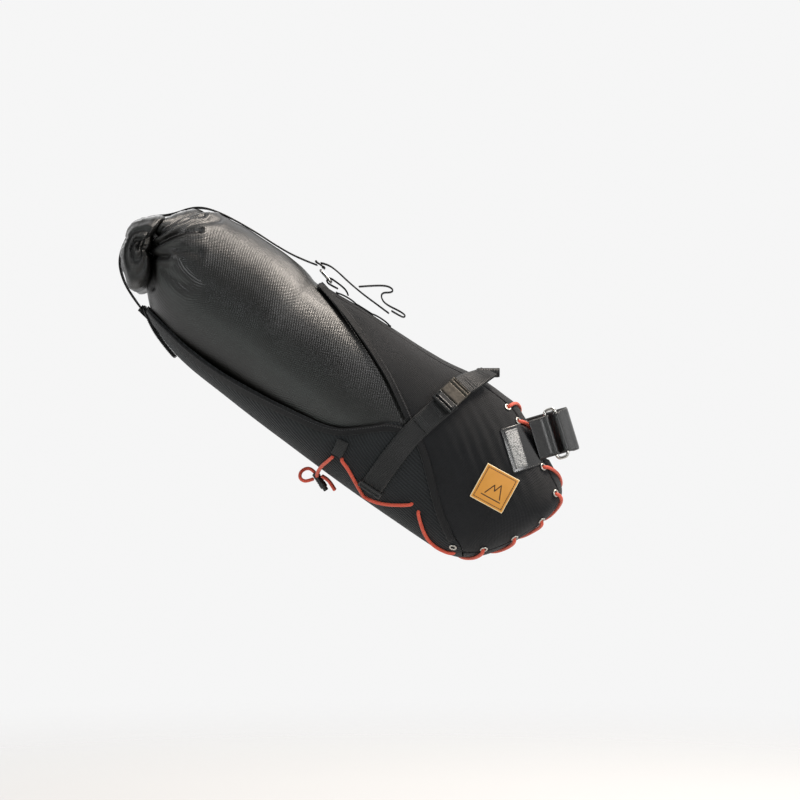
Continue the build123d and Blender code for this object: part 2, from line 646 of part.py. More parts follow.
def build():
    nose, top, side = holster_front()
    save(nose, "nose_gusset")
    save(top, "top_flap")
    save(side, "side_panel_right")
    save(mirrored(side), "side_panel_left")
    main, tail = belly()
    save(pressed(mirrored(pressed(main))), "belly_panel")
    save(tail, "belly_tail")
    save(edge_tape(FLAP_EDGE[1:], -0.45 * FLAP_BINDING_WIDTH, 0.9 * FLAP_BINDING_WIDTH), "flap_binding")
    ahead_of_hinge = side_polygon((-80, -260), (-80, 60), (HINGE_STATION - 0.4, 60), (HINGE_STATION - 0.4, -260))
    behind_hinge = side_polygon((HINGE_STATION, -260), (HINGE_STATION, 60), (466, 60), (466, -260))
    tape = edge_tape(BELLY_EDGE[1:-1], 0, -BELLY_BINDING_WIDTH)
    save(tape & ahead_of_hinge, "belly_binding")
    save(tape & behind_hinge, "tail_binding")
    save(stiffener_plate(), "stiffener_plate")

    for side_name, sign in (("right", 1), ("left", -1)):
        rings = [eyelet(angle, sign) for angle in EYELET_ANGLES]
        save(Compound(children=rings), f"eyelets_{side_name}")
    laces = [lace(a, b) for a, b in zip(EYELET_ANGLES, EYELET_ANGLES[1:])]
    save(Compound(children=laces), "nose_lacing")
    save(label_patch(), "label_patch")

    for piece, node in (
        (rail_strap(), "rail_strap"), (rail_strap_fold(), "rail_strap_fold"), (rail_slider(), "rail_slider"),
        (buckle_frame().location * buckle_socket(), "buckle_socket"),
        (buckle_frame().location * buckle_plate(), "buckle_plate"), (rail_loop(), "rail_loop"),
    ):
        save(piece, f"{node}_right")
        save(mirrored(piece), f"{node}_left")

    save(seatpost_strap(), "seatpost_strap", POST)
    save(seatpost_tab(), "seatpost_tab", POST)
    save(seatpost_ring(), "seatpost_ring", POST)
    base = strap_base(SEWN_GAP, BASE_FACE - 0.05, *BASE_REACH)
    save(base, "strap_base_right")
    save(mirrored(base), "strap_base_left")
    save(strap_base(BASE_FACE + 0.05, PATCH_FACE - 0.05, *PATCH_REACH), "hook_patch")

    save(daisy_chain(), "daisy_chain")
    save(anchor_tab(), "anchor_tab")
    save(top_ring(), "top_ring")
    save(strap_hook(), "strap_hook")
    save(compression_strap(), "compression_strap")
    save(band(RETURN_PATH, RETURN_RADII, STRAP_WIDTH - 1, WEBBING), "return_strap")
    save(band(TAIL_PATH, TAIL_RADII, STRAP_WIDTH - 1, WEBBING), "strap_tail")
    save(tail_tab(), "tail_tab")

    save(skin(DRY_BAG, 0), "dry_bag")
    save(roll_closure(), "roll_closure")
    save(closure_stiffener(), "closure_stiffener")

    barrel, plunger, spring = cord_lock()
    save(barrel, "cord_lock_barrel")
    save(plunger, "cord_lock_plunger")
    save(spring, "cord_lock_spring")
    guide = cord_guide()
    save(Compound(children=[guide, mirrored(guide)]), "cord_guides")
    cords = [shock_cord(points) for points in (CORD_REAR, CORD_FRONT, CORD_NOSE)] + [lock_cord()]
    save(Compound(children=cords), "shock_cord_right")
    save(Compound(children=[mirrored(c) for c in cords]), "shock_cord_left")
    save(tube(LOOP_PATH, CORD / 2), "cord_loop")
    end = tube(TAIL_ENDS, CORD / 2)
    save(end, "cord_end_right")
    save(mirrored(end), "cord_end_left")


build()
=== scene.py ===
import math

import bmesh
import bpy
import numpy as np
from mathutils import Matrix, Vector


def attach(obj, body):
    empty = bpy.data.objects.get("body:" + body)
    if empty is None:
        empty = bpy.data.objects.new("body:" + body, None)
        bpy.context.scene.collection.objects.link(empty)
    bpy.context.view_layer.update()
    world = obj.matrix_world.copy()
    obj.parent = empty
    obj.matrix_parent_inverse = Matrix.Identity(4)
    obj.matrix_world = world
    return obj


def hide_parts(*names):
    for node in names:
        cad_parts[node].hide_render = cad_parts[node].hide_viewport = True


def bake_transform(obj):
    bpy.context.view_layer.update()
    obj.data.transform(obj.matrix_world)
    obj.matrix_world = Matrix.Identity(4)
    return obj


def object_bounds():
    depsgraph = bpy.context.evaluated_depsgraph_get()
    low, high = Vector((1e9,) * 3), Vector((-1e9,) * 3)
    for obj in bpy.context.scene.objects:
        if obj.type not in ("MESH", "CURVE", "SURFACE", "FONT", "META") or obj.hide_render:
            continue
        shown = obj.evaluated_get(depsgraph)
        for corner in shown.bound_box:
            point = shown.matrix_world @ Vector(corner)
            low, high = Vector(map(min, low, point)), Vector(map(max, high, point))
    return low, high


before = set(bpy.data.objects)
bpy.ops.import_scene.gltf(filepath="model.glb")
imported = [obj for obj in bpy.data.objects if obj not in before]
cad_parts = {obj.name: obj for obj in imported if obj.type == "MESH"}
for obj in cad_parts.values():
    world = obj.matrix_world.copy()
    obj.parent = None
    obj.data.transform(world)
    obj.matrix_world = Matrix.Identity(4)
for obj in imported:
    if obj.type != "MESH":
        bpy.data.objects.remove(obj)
cad_low, cad_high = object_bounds()

# ================================================================ studio
# A pale floor and soft light from large panels. The bag hangs from a seatpost, so the floor lies
# below it. The camera looks level at the bag's right side.
VIEW_WIDTH, VIEW_MIDDLE, VIEW_HEIGHT = 0.909, -0.182, 0.036
LENS, SENSOR = 135.0, 36.0
camera_data = bpy.data.cameras.new("camera")
camera_data.lens, camera_data.sensor_width = LENS, SENSOR
camera = bpy.data.objects.new("camera", camera_data)
camera.location = (VIEW_MIDDLE, -VIEW_WIDTH * LENS / SENSOR, VIEW_HEIGHT)
camera.rotation_euler = (math.radians(90), 0, 0)
bpy.context.scene.collection.objects.link(camera)
bpy.context.scene.camera = camera


def linear(hex_value):
    """An sRGB hex colour as linear red, green, blue, alpha."""
    parts = [int(hex_value[i:i + 2], 16) / 255 for i in (1, 3, 5)]
    return tuple(c / 12.92 if c <= 0.04045 else ((c + 0.055) / 1.055) ** 2.4 for c in parts) + (1.0,)


def add(tree, kind, inputs, **settings):
    """Adds a node; inputs are values, or the output sockets they are linked from."""
    node = tree.nodes.new(kind)
    for key, value in settings.items():
        setattr(node, key, value)
    for key, value in inputs.items():
        if isinstance(value, bpy.types.NodeSocket):
            tree.links.new(value, node.inputs[key])
        else:
            node.inputs[key].default_value = value
    return node


def finish_of(name, inputs):
    """A new material with one principled shader, and that shader's tree and node."""
    material = bpy.data.materials.new(name)
    material.use_nodes = True
    shader = material.node_tree.nodes["Principled BSDF"]
    for key, value in inputs.items():
        shader.inputs[key].default_value = value
    return material, material.node_tree, shader


def soft_panel(name, place, aim, width, power, tint):
    """A large square light at a place, turned to a point."""
    data = bpy.data.lights.new(name, "AREA")
    data.shape, data.size, data.energy = "SQUARE", width, power
    data.color = linear(tint)[:3]
    lamp = bpy.data.objects.new(name, data)
    lamp.location = place
    lamp.rotation_euler = (Vector(aim) - Vector(place)).to_track_quat("-Z", "Y").to_euler()
    lamp.visible_camera = False
    bpy.context.scene.collection.objects.link(lamp)


MIDDLE = (-0.2, 0.0, 0.05)
soft_panel("light_overhead", (0.78, 0.12, 1.45), MIDDLE, 0.5, 42, "#FFF4E8")
soft_panel("light_low", (-0.62, -0.95, -0.42), MIDDLE, 0.35, 1.6, "#E2F6EE")
soft_panel("light_nose", (1.5, -1.9, 0.5), MIDDLE, 0.7, 26, "#FFFFFF")
soft_panel("light_rear", (-1.6, -1.8, 1.0), MIDDLE, 0.5, 9, "#F4FAFF")
soft_panel("light_back", (-1.0, 2.4, 1.2), MIDDLE, 1.4, 10, "#FFFFFF")
# The room is white all round, but for a dark flag in front of the bag and a little above it, which
# glossy cloth mirrors as a dark band between two light ones.
FLAG_TOWARDS = Vector((0.15, -0.95, 0.25)).normalized()
world = bpy.data.worlds.new("studio")
world.use_nodes = True
backdrop = world.node_tree.nodes["Background"]
backdrop.inputs["Color"].default_value = linear("#F8F8F8")
coords = add(world.node_tree, "ShaderNodeTexCoord", {})
facing = add(world.node_tree, "ShaderNodeVectorMath", {0: coords.outputs["Generated"], 1: FLAG_TOWARDS},
             operation="DOT_PRODUCT")
room = add(world.node_tree, "ShaderNodeMapRange", {
    "Value": facing.outputs["Value"], "From Min": 0.5, "From Max": 0.9, "To Min": 0.98, "To Max": 0.02},
    interpolation_type="SMOOTHSTEP")
world.node_tree.links.new(room.outputs["Result"], backdrop.inputs["Strength"])
bpy.context.scene.world = world

bpy.context.scene.view_settings.view_transform = "Standard"
FLOOR_DROP, FLOOR_REACH = 0.30, 1.6
floor_mesh = bpy.data.meshes.new("floor")
floor_level = cad_low.z - FLOOR_DROP
floor_corners = [(x * FLOOR_REACH, y * FLOOR_REACH, 0.0) for x, y in ((-1, -1), (1, -1), (1, 1), (-1, 1))]
floor_mesh.from_pydata(floor_corners, [], [(0, 1, 2, 3)])
floor = bpy.data.objects.new("floor", floor_mesh)
floor.location = (MIDDLE[0], 0.0, floor_level)
bpy.context.scene.collection.objects.link(floor)
# Matt white floor that fades out with distance, so that it has no edge.
floor_paint, floor_tree, floor_shader = finish_of("painted_studio_floor", {"Roughness": 0.9})
floor_shader.inputs["Base Color"].default_value = linear("#C4C4C4")
coords = add(floor_tree, "ShaderNodeTexCoord", {})
spread = add(floor_tree, "ShaderNodeVectorMath", {0: coords.outputs["Object"]}, operation="LENGTH")
fade = add(floor_tree, "ShaderNodeMapRange", {
    "Value": spread.outputs["Value"], "From Min": 0.25, "From Max": 1.5, "To Min": 0.9, "To Max": 0.0},
    interpolation_type="SMOOTHSTEP")
floor_tree.links.new(fade.outputs["Result"], floor_shader.inputs["Alpha"])
floor_mesh.materials.append(floor_paint)

# ================================================================ shock cord
# Red-orange elastic cord, 4 mm, in a braided sleeve. It runs through loops on the belly's edge, and
# its two ends meet in a cord lock under the belly, where a short loop and two cut ends stay free.
BAG_TILT = math.radians(34.0)
SECTION_POWER = 2.2
CORD = 4.0
# the holster's outer face: station along the bag, top, bottom and half width, in mm
HOLSTER = np.array([
    (-43, -64, -86, 20), (-40, -56, -99, 31), (-34, -49, -115, 38), (-18, -39, -149, 46),
    (0, -30, -171, 52), (20, -20, -184, 56), (40, -10, -189, 60), (66, -1, -189.5, 63),
    (107, 0, -189, 68), (160, -7, -188, 73), (220, -9, -186, 77), (260, -9.5, -184, 80),
    (312, -12, -181, 82), (340, -12, -179, 83), (380, -12, -176, 84), (405, -12, -172.5, 84),
    (440, -12, -162, 84), (466, -13, -147, 84), (476, -14, -138, 83),
], float)


def to_world(points):
    """Bag frame in mm (rearwards, right, up) to the shared frame in metres."""
    u, v, w = np.moveaxis(np.asarray(points, float), -1, 0)
    c, s = math.cos(BAG_TILT), math.sin(BAG_TILT)
    return np.stack([s * w - c * u, -v, s * u + c * w], -1) / 1000


def points_of(*parts):
    """Coordinates of any matching shapes, brought to one shape and stacked as points."""
    return np.stack(np.broadcast_arrays(*parts), -1)


def smooth_curve(x, knots, values):
    """Cubic between knots, with the harmonic mean of the two runs' slopes at each knot, so
    that it never swings past them."""
    runs = np.diff(values) / np.diff(knots)
    same = runs[:-1] * runs[1:] > 0
    total = np.where(same, runs[:-1] + runs[1:], 1.0)
    inner = np.where(same, 2 * runs[:-1] * runs[1:] / total, 0.0)
    slopes = np.concatenate([runs[:1], inner, runs[-1:]])
    x = np.clip(x, knots[0], knots[-1])
    i = np.clip(np.searchsorted(knots, x) - 1, 0, len(knots) - 2)
    span = knots[i + 1] - knots[i]
    t = (x - knots[i]) / span
    return ((1 + 2 * t) * (1 - t) ** 2 * values[i] + t * (1 - t) ** 2 * span * slopes[i]
            + t * t * (3 - 2 * t) * values[i + 1] + t * t * (t - 1) * span * slopes[i + 1])


def section_at(table, u):
    """Half width, mid height and half height of the section at station u."""
    top, bottom, half = (smooth_curve(u, table[:, 0], table[:, k]) for k in (1, 2, 3))
    return half, (top + bottom) / 2, (top - bottom) / 2


def level(table, u, v, w):
    """|v/half|^2.2 + |(w-mid)/height|^2.2: 1 on the face, and climbing past the flat nose."""
    ahead = np.maximum(0.0, table[0, 0] - u)
    half, middle, height = section_at(table, u)
    return np.abs(v / half) ** SECTION_POWER + np.abs((w - middle) / height) ** SECTION_POWER + ahead


def outward(table, points):
    """Unit normals of the face through the points: the gradient of its level."""
    u, v, w = np.moveaxis(points, -1, 0)
    step = 0.5
    slope = np.stack([
        level(table, u + a, v + b, w + c) - level(table, u - a, v - b, w - c)
        for a, b, c in ((step, 0, 0), (0, step, 0), (0, 0, step))
    ], -1)
    return slope / np.linalg.norm(slope, axis=-1, keepdims=True)


def side_point(u, w, gap):
    """The right side's point seen at station u and height w, moved out by the gap."""
    u, w = np.broadcast_arrays(np.asarray(u, float), np.asarray(w, float))
    half, middle, height = section_at(HOLSTER, u)
    rest = np.clip(1 - np.abs((w - middle) / height) ** SECTION_POWER, 1e-4, 1)
    points = np.stack([u, half * rest ** (1 / SECTION_POWER), w], -1)
    return points + outward(HOLSTER, points) * np.asarray(gap, float)[..., None]


NOSE_CENTRE = (60.0, -95.0)


def nose_point(angle, v, gap):
    """Where a ray from the nose's centre, at an angle seen from the side, meets the face at width v."""
    angle, v = np.broadcast_arrays(np.asarray(angle, float), np.asarray(v, float))
    du, dw = np.cos(np.radians(angle)), np.sin(np.radians(angle))
    low, high = np.zeros_like(du), np.full_like(du, 140.0)
    for _ in range(40):
        mid = (low + high) / 2
        inside = level(HOLSTER, NOSE_CENTRE[0] + mid * du, v, NOSE_CENTRE[1] + mid * dw) < 1
        low, high = np.where(inside, mid, low), np.where(inside, high, mid)
    points = np.stack([NOSE_CENTRE[0] + low * du, v, NOSE_CENTRE[1] + low * dw], -1)
    return points + outward(HOLSTER, points) * np.asarray(gap, float)[..., None]


def smooth_route(route, steps=8):
    """A NURBS spline with the given points as its control points, as a line of points."""
    curve = bpy.data.curves.new("route", "CURVE")
    curve.dimensions, curve.resolution_u = "3D", steps
    spline = curve.splines.new("NURBS")
    spline.points.add(len(route) - 1)
    for point, place in zip(spline.points, route):
        point.co = (*[float(x) for x in place], 1.0)
    spline.order_u, spline.use_endpoint_u = 3, True
    holder = bpy.data.objects.new("route", curve)
    bpy.context.scene.collection.objects.link(holder)
    mesh = bpy.data.meshes.new_from_object(holder)
    line = np.array([v.co for v in mesh.vertices])
    bpy.data.objects.remove(holder)
    bpy.data.curves.remove(curve)
    bpy.data.meshes.remove(mesh)
    return line


def run_length(points, axis=0):
    """Distance travelled along an axis of a grid of points, from 0."""
    steps = np.linalg.norm(np.diff(points, axis=axis), axis=-1)
    return np.insert(np.cumsum(steps, axis=axis), 0, 0.0, axis=axis)


def grid(points, uv, around=False):
    """Four-sided faces over rows and columns of points; around joins the last column to the first.
    uv is in mm and has one more column where the grid goes around."""
    rows, columns = points.shape[:2]
    r, c = np.meshgrid(np.arange(rows - 1), np.arange(columns - (not around)), indexing="ij")
    corner_r = np.stack([r, r, r + 1, r + 1], -1)
    corner_c = np.stack([c, c + 1, c + 1, c], -1)
    faces = (corner_r * columns + corner_c % columns).reshape(-1, 4)
    return points.reshape(-1, 3), faces, uv[corner_r, corner_c].reshape(-1, 4, 2)


def joined(parts):
    """Several parts as one."""
    starts = np.cumsum([0] + [len(p[0]) for p in parts[:-1]])
    return (np.concatenate([p[0] for p in parts]),
            np.concatenate([p[1] + s for p, s in zip(parts, starts)]),
            np.concatenate([p[2] for p in parts]))


def mirrored(part):
    """The same part on the bag's left."""
    return part[0] * [1, -1, 1], part[1][:, ::-1], part[2][:, ::-1]


def both_sides(part):
    """The part on the bag's right and its mirror image on the left, as one."""
    return joined([part, mirrored(part)])


def frames_along(line):
    """Tangent and two cross directions at each point, turned along the line without twist."""
    tangent = np.gradient(line, axis=0)
    tangent /= np.linalg.norm(tangent, axis=1, keepdims=True)
    side = np.cross(tangent[0], [0.3, 0.9, 0.2])
    sides = []
    for direction in tangent:
        side = side - direction * side.dot(direction)
        side = side / np.linalg.norm(side)
        sides.append(side)
    sides = np.array(sides)
    return tangent, sides, np.cross(tangent, sides)


def cord_tube(line, radius, columns=18):
    """A round tube: line + radius (cos a side + sin a up), with its ends closed as half rounds."""
    tangent, side, up = frames_along(line)
    lengths = run_length(line)
    turn = np.linspace(0, np.pi / 2, 5)[:-1]
    start = [(-radius * math.sin(a) * 0.5, radius * math.cos(a)) for a in turn[::-1]]
    rows = [line[0] + tangent[0] * along for along, _ in start] + list(line)
    rows += [line[-1] - tangent[-1] * along for along, _ in start[::-1]]
    radii = [r for _, r in start] + [radius] * len(line) + [r for _, r in start[::-1]]
    pick = [0] * len(start) + list(range(len(line))) + [len(line) - 1] * len(start)
    rows, radii = np.array([rows[0]] + rows + [rows[-1]]), np.array([1e-4] + radii + [1e-4])
    pick = [0] + pick + [len(line) - 1]
    angle = np.linspace(0, 2 * np.pi, columns + 1)
    ring = np.cos(angle)[:-1, None] * side[pick][:, None] + np.sin(angle)[:-1, None] * up[pick][:, None]
    points = rows[:, None] + radii[:, None, None] * ring
    uv = points_of(lengths[pick][:, None], angle[None] * radius)
    return grid(points, uv, around=True)


def place(name, part, material, body, slot, replaces=(), marks=None, bends=None, sharp=None):
    """Makes a mesh of a part given in the bag frame, ties it to its body, unless it bends, when its place is
    only baked in, and hides the CAD nodes it replaces. The slot is not used.
    """
    points, faces, uv = part
    mesh = bpy.data.meshes.new(name)
    mesh.from_pydata(to_world(points).tolist(), [], faces.tolist())
    layer = mesh.uv_layers.new(name="cloth")
    layer.data.foreach_set("uv", uv.reshape(-1).astype(np.float32))
    if marks is not None:
        mark = mesh.attributes.new("mark", "FLOAT", "POINT")
        mark.data.foreach_set("value", np.asarray(marks, np.float32).reshape(-1))
    work = bmesh.new()
    work.from_mesh(mesh)
    bmesh.ops.remove_doubles(work, verts=work.verts, dist=2e-6)
    bmesh.ops.recalc_face_normals(work, faces=work.faces)
    work.to_mesh(mesh)
    work.free()
    mesh.shade_smooth()
    if sharp:
        mesh.set_sharp_from_angle(angle=math.radians(sharp))
    mesh.materials.append(material)
    obj = bpy.data.objects.new(name, mesh)
    bpy.context.scene.collection.objects.link(obj)
    if bends:
        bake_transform(obj)
    else:
        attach(obj, body)
    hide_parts(*replaces)
    return obj


# Polyester sleeve braided over rubber: satin, with small diamonds that show the sleeve's strands.
BRAID = 2.0  # mm between strands, drawn coarser than the real 0.8 mm so that it shows
cord_sleeve, tree, shader = finish_of("braided_polyester_cord", {"Roughness": 0.55, "Sheen Weight": 0.25})
shader.inputs["Sheen Tint"].default_value = linear("#FFC8B0")
uv_map = add(tree, "ShaderNodeUVMap", {}, uv_map="cloth")
braid = []
for lean in (1.0, -1.0):
    turned = add(tree, "ShaderNodeVectorMath", {0: uv_map.outputs[0], 1: (1.0, lean, 0.0)},
                 operation="DOT_PRODUCT")
    wave = add(tree, "ShaderNodeMath", {0: turned.outputs["Value"], 1: 2 * math.pi / BRAID},
               operation="MULTIPLY")
    braid.append(add(tree, "ShaderNodeMath", {0: wave.outputs[0]}, operation="SINE").outputs[0])
strands = add(tree, "ShaderNodeMath", {0: braid[0], 1: braid[1]}, operation="MULTIPLY")
ramp = add(tree, "ShaderNodeValToRGB", {"Fac": strands.outputs[0]})
ramp.color_ramp.elements[0].color = linear("#B93A26")
ramp.color_ramp.elements[1].color = linear("#F0694A")
ramp.color_ramp.elements[1].position = 0.75
bump = add(tree, "ShaderNodeBump", {"Height": strands.outputs[0], "Strength": 0.5, "Distance": 0.0003})
tree.links.new(ramp.outputs["Color"], shader.inputs["Base Color"])
tree.links.new(bump.outputs["Normal"], shader.inputs["Normal"])

CORD_LIFT, CORD_DIP = CORD / 2 + 0.6, -1.0  # over the cloth, and into it at a run's two ends
# side-view routes on the belly's right side: rearmost guide to the strap, on to the wing, and the nose
CORD_SIDE = [(188, -163), (178, -166), (168, -171), (158, -176), (149, -180.5), (143, -183), (130, -181),
             (117, -175.5), (105, -168), (95, -161)]
CORD_NOSE = [(84, -164), (76, -171), (66, -178.5), (54, -184), (40, -185), (24, -181)]
LOCK_CORD_SIDE = [(198, -165), (200.5, -174), (202.5, -180.5)]
LOCK_CORD_END = [(203, 15.5, -191.8), (201, 5.2, -196.2)]
side_tubes = []
for route in (CORD_SIDE, CORD_NOSE):
    on_belly = [side_point(u, w, CORD_LIFT) for u, w in route]
    dips = [side_point(*route[0], CORD_DIP), side_point(*route[-1], CORD_DIP)]
    side_tubes.append(cord_tube(smooth_route([dips[0], *on_belly, dips[1]]), CORD / 2))
to_lock = [side_point(u, w, CORD_LIFT) for u, w in LOCK_CORD_SIDE] + LOCK_CORD_END
side_tubes.append(cord_tube(smooth_route(to_lock), CORD / 2))
side_cord = joined(side_tubes)
place("belly_cord_right", side_cord, cord_sleeve, "root", "shock_cord", ["shock_cord_right"])
place("belly_cord_left", mirrored(side_cord), cord_sleeve, "root", "shock_cord", ["shock_cord_left"])

LOOP_PATH = [(205.6, -1.8, -194.4), (211.5, -3.5, -193.0), (217, -3.5, -197.0), (219, -1.5, -203.5),
             (216, 1.5, -209.0), (210, 3, -209.5), (205.5, 2.4, -205.5), (202.6, 1.2, -201.4)]
TAIL_ENDS = [(196, 6.6, -193.0), (189.5, 7.2, -192.6), (182.5, 7.8, -194.6), (175.5, 8.6, -198.0)]
loop_line = smooth_route(LOOP_PATH, 16)
loop_cord = place("free_cord_loop", cord_tube(loop_line, CORD / 2), cord_sleeve, "root", "shock_cord",
                  ["cord_loop"])
end_tube = cord_tube(smooth_route(TAIL_ENDS), CORD / 2)
cut_ends = [
    place("free_cord_end_right", end_tube, cord_sleeve, "root", "shock_cord", ["cord_end_right"]),
    place("free_cord_end_left", mirrored(end_tube), cord_sleeve, "root", "shock_cord", ["cord_end_left"]),
]

# The lock is a dull black acetal barrel with a ribbed grip; a steel spring pushes its plunger out.
LOCK_TOP = (205.0, -194.5)
LOCK_LEAN = math.radians(23.0)
LOCK_RADIUS, LOCK_LENGTH, PLUNGER_RADIUS, PLUNGER_TRAVEL, PLUNGER_LENGTH = 4.2, 20.0, 2.9, 4.0, 13.0


def turned_part(origin, axis, profile, columns=40):
    """A lathe shape: each (distance along the axis, radius) of the profile swept round the axis."""
    axis = np.array(axis, float) / np.linalg.norm(axis)
    side = np.cross(axis, [0.0, 1.0, 0.2])
    side /= np.linalg.norm(side)
    along, radii = np.array(profile, float).T
    angle = np.linspace(0, 2 * np.pi, columns + 1)
    ring = np.cos(angle)[:-1, None] * side + np.sin(angle)[:-1, None] * np.cross(axis, side)
    points = np.array(origin, float) + along[:, None, None] * axis + radii[:, None, None] * ring[None]
    uv = points_of(along[:, None], angle[None] * radii.max())
    return grid(points, uv, around=True)


# Moulded acetal: near black, a soft sheen, and the faint unevenness of a moulded face.
acetal, tree, shader = finish_of("moulded_black_acetal", {"Roughness": 0.38, "IOR": 1.48})
shader.inputs["Base Color"].default_value = linear("#141415")
coords = add(tree, "ShaderNodeTexCoord", {})
haze = add(tree, "ShaderNodeTexNoise", {"Vector": coords.outputs["Object"], "Scale": 400.0, "Detail": 3.0})
bump = add(tree, "ShaderNodeBump", {"Height": haze.outputs["Fac"], "Strength": 0.12, "Distance": 0.0004})
spread = add(tree, "ShaderNodeMapRange", {"Value": haze.outputs["Fac"], "To Min": 0.3, "To Max": 0.46})
tree.links.new(spread.outputs["Result"], shader.inputs["Roughness"])
tree.links.new(bump.outputs["Normal"], shader.inputs["Normal"])

lock_axis = (-math.cos(LOCK_LEAN), 0.0, -math.sin(LOCK_LEAN))
lock_start = np.array([LOCK_TOP[0], 0.0, LOCK_TOP[1]])
GRIP_RIBS = 5
barrel = [(0.05, 0.01), (0.05, LOCK_RADIUS - 1.2), (0.5, LOCK_RADIUS - 0.4), (1.2, LOCK_RADIUS)]
for rib in range(GRIP_RIBS):
    start = 3.0 + rib * 2.4
    barrel += [(start, LOCK_RADIUS), (start + 0.3, LOCK_RADIUS - 0.45), (start + 0.9, LOCK_RADIUS - 0.45),
               (start + 1.2, LOCK_RADIUS)]
barrel += [(LOCK_LENGTH - 1.2, LOCK_RADIUS), (LOCK_LENGTH - 0.4, LOCK_RADIUS - 0.3),
           (LOCK_LENGTH, LOCK_RADIUS - 0.6), (LOCK_LENGTH, PLUNGER_RADIUS + 0.3),
           (2.2, PLUNGER_RADIUS + 0.3), (2.0, PLUNGER_RADIUS), (2.0, 0.01)]
place("cord_lock_body", turned_part(lock_start, lock_axis, barrel), acetal, "root", "buckle_plastic",
      ["cord_lock_barrel"], sharp=35)
plunger_end = LOCK_LENGTH + PLUNGER_TRAVEL
plunger_start = plunger_end - PLUNGER_LENGTH
plunger = [(plunger_start, 0.01), (plunger_start, PLUNGER_RADIUS - 0.2),
           (plunger_start + 0.3, PLUNGER_RADIUS), (plunger_end - 0.8, PLUNGER_RADIUS),
           (plunger_end - 0.25, PLUNGER_RADIUS - 0.3), (plunger_end, PLUNGER_RADIUS - 0.9),
           (plunger_end - 0.3, 1.2), (plunger_end - 0.35, 0.01)]
place("cord_lock_button", turned_part(lock_start, lock_axis, plunger), acetal, "lock_plunger",
      "buckle_plastic", ["cord_lock_plunger"], sharp=35)

# ================================================================ holster
# Black woven nylon pack cloth, coated on the inside. Two shaped side panels and a top flap are sewn
# to a strip that closes the nose; a ribbed belly panel wraps under the dry bag from side to side.
SKIN, BELLY_SKIN, NOSE_BAND, NOSE_SPLIT = 1.6, 2.0, 27.0, -5.0
# the front cloth's rear edge and the belly's upper edge, seen from the side: station and height
FRONT_EDGE = np.array([(0, -200), (22, -171), (57, -159), (92, -128), (127, -97), (152, -86), (205, -55),
                       (260, -32.5), (322, -12), (330, -4)], float)
BELLY_EDGE = np.array([(0, -200), (22, -171), (57, -159), (92, -128), (127, -97), (155, -93), (182, -115),
                       (208, -136), (232, -144), (257, -148), (307, -155), (360, -158.5), (400, -157),
                       (448, -149), (466, -146), (482, -141)], float)


def crumple(x, y, size, seed, waves=7):
    """Soft unevenness from -1 to 1: a sum of sines in seeded directions, at and below a size in mm."""
    draw = np.random.default_rng(seed)
    total = 0.0
    for _ in range(waves):
        heading, phase, share = draw.uniform(0, 2 * np.pi), draw.uniform(0, 2 * np.pi), draw.uniform(0.5, 1.0)
        distance = x * np.cos(heading) + y * np.sin(heading)
        total = total + np.sin(2 * np.pi * distance / (size * share) + phase)
    return total / waves


def edge_round(x, reach):
    """1 over a sheet and 0 at its edge, on a quarter circle within the reach."""
    inside = np.clip(x / reach, 0, 1)
    return np.sqrt(np.clip(1 - (1 - inside) ** 2, 0, 1))


def slab(middle, normal, above, below, reach=1.2):
    """A closed sheet: a grid of points, with its faces moved out and in along the normals by two
    heights, rounded off within the reach of all four edges."""
    across, along = run_length(middle, 1), run_length(middle, 0)
    from_sides = np.minimum(across, across[:, -1:] - across)
    from_ends = np.minimum(along, along[-1:] - along)
    body = edge_round(np.minimum(from_sides, from_ends), reach)
    top = middle + normal * (np.asarray(above) * body)[..., None]
    bottom = middle - normal * (np.asarray(below) * body)[..., None]
    points = np.concatenate([top, bottom[:, -2:0:-1]], 1)
    centred = np.stack([along, across - across[:, -1:] / 2], -1)
    uv = np.concatenate([centred, centred[:, -2::-1]], 1)
    return grid(points, uv, around=True)


def face_slab(middle, above, below, reach=1.2):
    """A slab whose normals come from its own grid of points: the cross of its two directions."""
    normal = np.cross(np.gradient(middle, axis=0), np.gradient(middle, axis=1))
    normal /= np.maximum(np.linalg.norm(normal, axis=-1, keepdims=True), 1e-9)
    return slab(middle, normal, above, below, reach)


def edge_angle(u, w):
    """The section angle, from -90 at the bottom to 90 at the top, at height w of station u."""
    _, middle, height = section_at(HOLSTER, u)
    share = np.clip((w - middle) / height, -1, 1)
    return np.arcsin(np.sign(share) * np.abs(share) ** (SECTION_POWER / 2))


def band_angle(u, v):
    """The angle at which the section is v wide."""
    half, _, _ = section_at(HOLSTER, u)
    return np.arccos(np.clip(v / half, 0, 1) ** (SECTION_POWER / 2))


def section_point(table, u, angle, gap=0.0):
    """half·cos^(2/2.2) and height·sin^(2/2.2) about the section's middle, moved out by the gap."""
    half, middle, height = section_at(table, u)
    fold = 2 / SECTION_POWER
    v = half * np.sign(np.cos(angle)) * np.abs(np.cos(angle)) ** fold
    w = middle + height * np.sign(np.sin(angle)) * np.abs(np.sin(angle)) ** fold
    points = points_of(u, v, w)
    return points + outward(table, points) * np.asarray(gap, float)[..., None]


